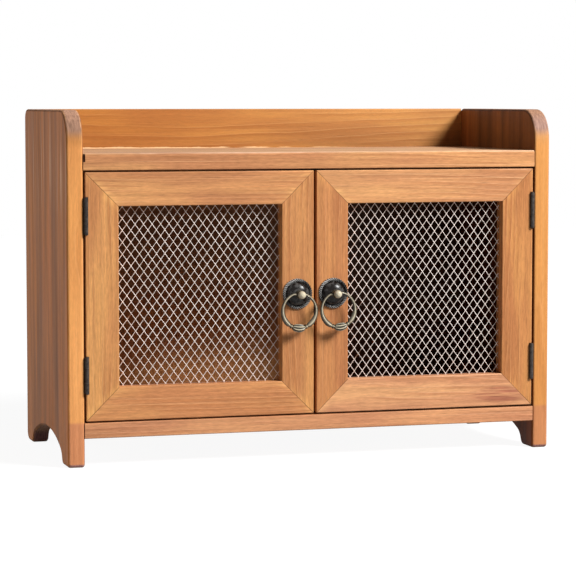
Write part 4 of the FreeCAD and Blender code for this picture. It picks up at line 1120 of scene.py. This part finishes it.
# %% [markdown]
# The profile runs from the back of the dish over its rim, down into a groove and up the dome to the
# hole under the post. The painted highlights are worked out for one loop and given to the rows on the
# teeth.

# %% Roses
ROSE_PROFILE = (
    [(2.6, 0.0), (11.9, 0.0), (12.2, 0.15), (ROSE_RADIUS, 0.5), (ROSE_RADIUS, 0.9)]
    + arc((11.5, 1.0), 0.8, 0, 90, 5)
    + [(11.0, 1.8), (10.6, 1.78), (10.2, 1.65), (9.9, 1.1), (9.75, 0.9), (9.5, 0.95)]
    + [(9.2, 1.35), (8.9, 2.0), (8.4, 2.8), (7.8, 3.45), (7.1, 4.0), (6.3, 4.45), (5.5, 4.8), (4.7, 5.08)]
    + [(3.9, 5.3), (3.3, 5.42), (2.6, 5.5)]
)
TOOTH_GLINT = 0.9
BRIGHT_SIDE = 2.1
LOWER_SIDE = -1.6
rose_angles = np.linspace(0, 2 * math.pi, TEETH * TOOTH_POINTS, endpoint=False)
# painted highlight: the crests of the teeth are bright, most towards the upper left and a little at the
# bottom
crests = np.clip(2 * np.cos(rose_angles * TEETH) + 0.2, 0, 1)
reach = 0.10 + 0.90 * np.clip(np.cos(rose_angles - BRIGHT_SIDE), 0, 1) ** 2
reach += 0.22 * np.clip(np.cos(rose_angles - LOWER_SIDE), 0, 1) ** 2
crests = crests * reach
on_teeth = [radius > 10.1 and height > 0.9 for radius, height in ROSE_PROFILE]
rose_glint = np.array([crests * (TOOTH_GLINT if toothy else 0) for toothy in on_teeth])
for side in SIDES:
    rose = skin(
        f"{side}_milled_rose",
        turned(ROSE_PROFILE, pull_place(side), TEETH * TOOTH_POINTS, toothed),
        rose_glint,
        dark_bronze,
        f"{side}_door",
        closed_ends=False,
        smooth_angle=50.0,
    )
    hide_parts(f"{side}_pull_rose")
print("rose points:", len(rose.data.vertices))

# %% [markdown]
# The post is turned too: a collar on the rose, a round eye for the ring's ends, a waist and a ball. The
# ball is what a finger meets first, so it is rubbed brighter towards its tip, and that bright tip is also
# a painted highlight.

# %% Post
POST_POINTS = 64
POST_PROFILE = (
    [(0.01, 3.0), (2.5, 3.0), (2.5, 5.3), (3.2, 5.35), (3.4, 5.55), (3.4, 6.2), (3.0, 6.5)]
    + arc((0.0, 8.4), 3.4, -28, 42, 12)
    + [(2.2, 10.75)]
    + arc((0.0, 12.93), 3.2, -34, 62, 14)
    + [(1.2, 15.98), (0.7, 16.04), (0.01, 16.04)]
)
BALL_START, BALL_REACH = 11.0, 4.5
ball = [np.clip((height - BALL_START) / BALL_REACH, 0, 1) for _, height in POST_PROFILE]
# rubbed and painted highlight: the ball is brighter towards its tip
post_rub_and_glint = np.array([np.full(POST_POINTS, 0.10 + 0.9 * share**1.2) for share in ball])
for side in SIDES:
    post = skin(
        f"{side}_turned_post",
        turned(POST_PROFILE, pull_place(side), POST_POINTS),
        post_rub_and_glint,
        antique_brass,
        f"{side}_door",
        smooth_angle=40.0,
    )
    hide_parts(f"{side}_pull_post")
print("post points:", len(post.data.vertices))

# %% [markdown]
# ### The rings
#
# The ring is a skin over loops that travel round a circle. A table of a few stations gives the wire's
# width, its depth from front to back and how deep its flutes are, and the loops in between are
# interpolated. A curve with a bevel would give the wire but neither its corners nor the flutes.

# %% Ring sizes
RING_RADIUS = 13.8
RING_MOUTH = 10.4
RING_PIN_RADIUS = 0.95
RING_DROP = math.sqrt(RING_RADIUS**2 - RING_MOUTH**2 / 4)
RING_POINTS = 48
RING_CORNERS = 1.7
FLUTES = 8
RUB_AND_GLINT_ANGLE = math.radians(270)
# degrees from the top, half width, half depth, depth of the flutes
RING_STATIONS = [
    (24, 0.98, 0.98, 0.0),
    (40, 1.0, 1.0, 0.0),
    (60, 1.1, 1.1, 0.0),
    (85, 1.35, 1.3, 0.0),
    (110, 1.85, 1.55, 0.0),
    (132, 2.15, 1.75, 0.0),
    (143, 1.95, 1.7, 0.0),
    (148.5, 1.3, 1.3, 0.0),
    (150, 1.25, 1.25, 0.0),
    (151.5, 1.65, 1.7, 0.0),
    (153.5, 2.0, 2.05, 0.0),
    (156, 1.75, 1.8, 0.0),
    (157.5, 1.35, 1.4, 0.0),
    (159, 1.4, 1.45, 0.0),
    (160.5, 2.0, 2.0, 0.06),
    (164, 2.6, 2.55, 0.18),
    (169, 3.1, 2.95, 0.20),
    (175, 3.35, 3.15, 0.20),
    (180, 3.4, 3.2, 0.20),
]
thin, thick = 2 * RING_STATIONS[0][1], 2 * RING_STATIONS[-1][1]
print("ring from", thin, "mm thick at its ends to", thick, "mm at its bead")

# %% [markdown]
# The wire's section is drawn out to soft corners, so that a bright line runs along its front, where it
# is rubbed; that line and the darker sides are also a painted highlight and painted shade. The bead's
# loops are fluted with a wave round the wire, and their ridges are rubbed bright, most on the front,
# which is partly a painted highlight. Two short bent ends, which turn in the eye, close the skin.

# %% Ring loops
def ring_loops(pivot, askew):
    """Loops from one end of the ring, down round the bead and up to the other end."""
    table = np.array(RING_STATIONS)
    mirrored = table[-2::-1].copy()
    mirrored[:, 0] = 360 - mirrored[:, 0]
    table = np.concatenate([table, mirrored])
    pairs = zip(table[:-1, 0], table[1:, 0])
    fine = np.concatenate([np.linspace(a, b, 5)[:-1] for a, b in pairs] + [table[-1:, 0]])
    widths, depths, flutes = (np.interp(fine, table[:, 0], table[:, c]) for c in (1, 2, 3))
    around = np.linspace(0, 2 * math.pi, RING_POINTS, endpoint=False)

    def loop(middle, outward, half_width, half_depth, flute, corners=RING_CORNERS):
        ridge = 1 - flute * (0.5 + 0.5 * np.cos(around * FLUTES))
        across = np.sign(np.cos(around)) * np.abs(np.cos(around)) ** corners
        through = np.sign(np.sin(around)) * np.abs(np.sin(around)) ** corners
        wide, deep = across * half_width * ridge, through * half_depth * ridge
        x, z = middle[0] + outward[0] * wide, middle[1] + outward[1] * wide
        turned_x = x * math.cos(askew) - z * math.sin(askew)
        turned_z = x * math.sin(askew) + z * math.cos(askew)
        place = (pivot.x + turned_x * MM, pivot.y + deep * MM, pivot.z + turned_z * MM)
        return np.stack(place, axis=1)

    def end(side):
        """The bent end that turns in the eye, from near the eye's middle to the bend."""
        places = [1.0, 2.2, 3.4, RING_MOUTH / 2 - 0.9, RING_MOUTH / 2 - 0.35]
        lean = [0.35 * max(i - 2, 0) for i in range(len(places))]
        return [
            loop((side * x, 0), (side * math.sin(a), math.cos(a)), RING_PIN_RADIUS, RING_PIN_RADIUS, 0, 1)
            for x, a in zip(places, lean)
        ]

    loops = end(1)
    for degrees, wide, deep, flute in zip(fine, widths, depths, flutes):
        outward = (math.sin(math.radians(degrees)), math.cos(math.radians(degrees)))
        middle = (RING_RADIUS * outward[0], RING_RADIUS * outward[1] - RING_DROP)
        loops.append(loop(middle, outward, wide, deep, flute, 1 if flute else RING_CORNERS))
    loops = np.array(loops + end(-1)[::-1])
    extra = (len(loops) - len(fine)) // 2
    # rubbed and painted highlight: a bright line along the front of the wire, with painted shade on its
    # sides
    edge = np.clip(np.cos(around - RUB_AND_GLINT_ANGLE), 0, 1) ** 5 * 0.95 + 0.03
    rub_and_glint = np.tile(edge, (len(loops), 1))
    fluted = np.pad(flutes, extra) > 0.05
    # rubbed and painted highlight: the bead's ridges are bright, most on the front
    ridges = np.clip(-np.cos(around * FLUTES), 0, 1) * 0.96 + 0.02
    rub_and_glint[fluted] = np.clip(ridges * (0.15 + 1.25 * np.clip(-np.sin(around), 0, 1)), 0, 1)
    return loops, rub_and_glint


print("loops in one ring:", len(ring_loops(Vector((0, 0, 0)), 0.0)[0]))

# %% [markdown]
# The ring rides on a body of its own, so that it swings, and the frame's joint says where its ends
# turn. The ends have a little play in the eye, so each ring hangs a few degrees askew, away from the
# other one.

# %% Rings
RING_ASKEW = {"left": math.radians(-3.0), "right": math.radians(8.0)}


def ring_pivot(side):
    """Middle of the ring's ends, inside the eye."""
    joint = next(j for j in frame["joints"] if j["name"] == f"{side}_ring_pivot")
    return Vector(joint["pos_m"])


for side in SIDES:
    loops, rub_and_glint = ring_loops(ring_pivot(side), RING_ASKEW[side])
    ring = skin(f"{side}_cast_ring", loops, rub_and_glint, antique_brass, f"{side}_ring", smooth_angle=45.0)
    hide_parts(f"{side}_pull_ring")
print("ring points:", len(ring.data.vertices))

# %% [markdown]
# ## The metal mesh
#
# Expanded metal is one sheet, slit and pulled open. Its strands are flat strips that twist as the sheet
# opens, all towards the same side, and meet in knuckles that are longer than they are wide. Because
# the strips lie on a slant, one direction catches the lamp and the other stays duller, and that is
# what makes it look like metal lace rather than a drawn grid. A wireframe modifier gives square wires
# with no slant, so the strips are placed one by one.

# %% Sizes of the metal mesh
DIAMOND_WIDTH = 6.8
DIAMOND_HEIGHT = 9.28
STRAND_WIDTH = 0.50
STRAND_THICKNESS = 0.30
STRAND_SLANT = math.radians(48)
KNUCKLE_HALF_HEIGHT = 0.95
KNUCKLE_HALF_WIDTH = 0.38
SHEET_MARGIN = 0.15
print("diamonds", DIAMOND_WIDTH, "mm wide and", DIAMOND_HEIGHT, "mm high")

# %% [markdown]
# A sheet is cut to size with shears, right through its diamonds. So each strand is trimmed where it
# leaves the sheet's window. That is the usual clipping of a line by a box: every side of the box
# shortens the stretch that is kept.

# %% Trimming
SHORTEST_SHARE = 0.05


def clip_to_window(start, end, half_width, half_height):
    """The stretch of a line inside a centred window, as two shares of its length, or None."""
    first, last = 0.0, 1.0
    for axis, limit in ((0, half_width), (1, half_height)):
        run = end[axis] - start[axis]
        for sign in (-1, 1):
            room = limit - sign * start[axis]
            speed = sign * run
            if speed > 0:
                last = min(last, room / speed)
            elif speed < 0:
                first = max(first, room / speed)
            elif room < 0:
                return None
    return (first, last) if last - first > SHORTEST_SHARE else None


print("kept of a line that leaves a window halfway:", clip_to_window((0, 0), (2, 0), 1, 1))

# %% [markdown]
# All strands of a sheet go into one mesh, because thousands of objects would be slow. A strand is a
# strip with eight edges, tilted by the slant, and softened edges catch a thin line of light. A knuckle
# is a flat hexagon with a raised middle.

# %% Strands and knuckles
def add_tube(points, faces, sections):
    """Adds a closed skin over equal sections to lists of points and faces."""
    base, count = len(points), len(sections[0])
    for section in sections:
        points.extend(section)
    for row in range(len(sections) - 1):
        a, b = base + row * count, base + (row + 1) * count
        for i in range(count):
            j = (i + 1) % count
            faces.append((a + i, a + j, b + j, b + i))
    faces.append(tuple(base + i for i in range(count))[::-1])
    faces.append(tuple(base + (len(sections) - 1) * count + i for i in range(count)))


def strand(start, end):
    """Sections of one slanted strand with softened long edges."""
    run = Vector((end[0] - start[0], 0, end[1] - start[1])).normalized()
    upward = Vector((-run.z, 0, run.x)) if run.x > 0 else Vector((run.z, 0, -run.x))
    front = Vector((0, -1, 0))
    flat = upward * math.cos(STRAND_SLANT) - front * math.sin(STRAND_SLANT)
    thick = front * math.cos(STRAND_SLANT) + upward * math.sin(STRAND_SLANT)
    half_w, half_t = STRAND_WIDTH / 2, STRAND_THICKNESS / 2
    soft = half_t * 0.5
    outline = [
        (half_w, -half_t + soft),
        (half_w, half_t - soft),
        (half_w - soft, half_t),
        (-half_w + soft, half_t),
        (-half_w, half_t - soft),
        (-half_w, -half_t + soft),
        (-half_w + soft, -half_t),
        (half_w - soft, -half_t),
    ]
    return [[Vector((x, 0, z)) + flat * w + thick * d for w, d in outline] for x, z in (start, end)]


def knuckle(x, z):
    """Sections of the flat joint where strands meet, with a raised middle."""
    outline = [(0, 1), (0.8, 0.42), (0.8, -0.42), (0, -1), (-0.8, -0.42), (-0.8, 0.42)]
    sections = []
    for depth, size in ((0.2, 1.0), (-0.12, 1.0), (-0.32, 0.45)):
        wide, tall = KNUCKLE_HALF_WIDTH * size, KNUCKLE_HALF_HEIGHT * size
        sections.append([Vector((x + a * wide, depth - 0.08 * b, z + b * tall)) for a, b in outline])
    return sections


print("edges of a strand:", len(strand((0, 0), (1, 1))[0]), "and of a knuckle:", len(knuckle(0, 0)[0]))

# %% [markdown]
# The diamonds are laid out from the middle of the sheet, so both doors look alike. Knuckles sit on
# every second crossing of a grid, and two strands rise and fall from each one to the next column.

# %% Sheets
def expanded_sheet(side):
    """The sheet behind one door's opening, cut off a little inside the panel's edges."""
    low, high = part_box(f"{side}_mesh_panel")
    middle = (low + high) / 2
    half_w = (high.x - low.x) / 2 / MM - SHEET_MARGIN
    half_h = (high.z - low.z) / 2 / MM - SHEET_MARGIN
    step_x, step_z = DIAMOND_WIDTH / 2, DIAMOND_HEIGHT / 2
    columns, rows = math.ceil(half_w / step_x), math.ceil(half_h / step_z)
    points, faces = [], []
    for column in range(-columns, columns + 1):
        for row in range(-rows, rows + 1):
            if (column + row) % 2 == 0:
                continue
            start = (column * step_x, row * step_z)
            for rise in (-1, 1):
                end = (start[0] + step_x, start[1] + rise * step_z)
                kept = clip_to_window(start, end, half_w, half_h)
                if kept:
                    ends = [tuple(s + (e - s) * t for s, e in zip(start, end)) for t in kept]
                    add_tube(points, faces, strand(*ends))
            if abs(start[0]) < half_w - 1 and abs(start[1]) < half_h - KNUCKLE_HALF_HEIGHT:
                add_tube(points, faces, knuckle(*start))
    mesh = bpy.data.meshes.new(f"{side}_expanded_metal")
    mesh.from_pydata([tuple(middle + p * MM) for p in points], [], faces)
    mesh.materials.append(mesh_steel)
    sheet = finish_piece(f"{side}_expanded_metal", mesh, f"{side}_door", 30.0)
    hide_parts(f"{side}_mesh_panel")
    return sheet


for side in SIDES:
    sheet = expanded_sheet(side)
print("points in one sheet:", len(sheet.data.vertices))
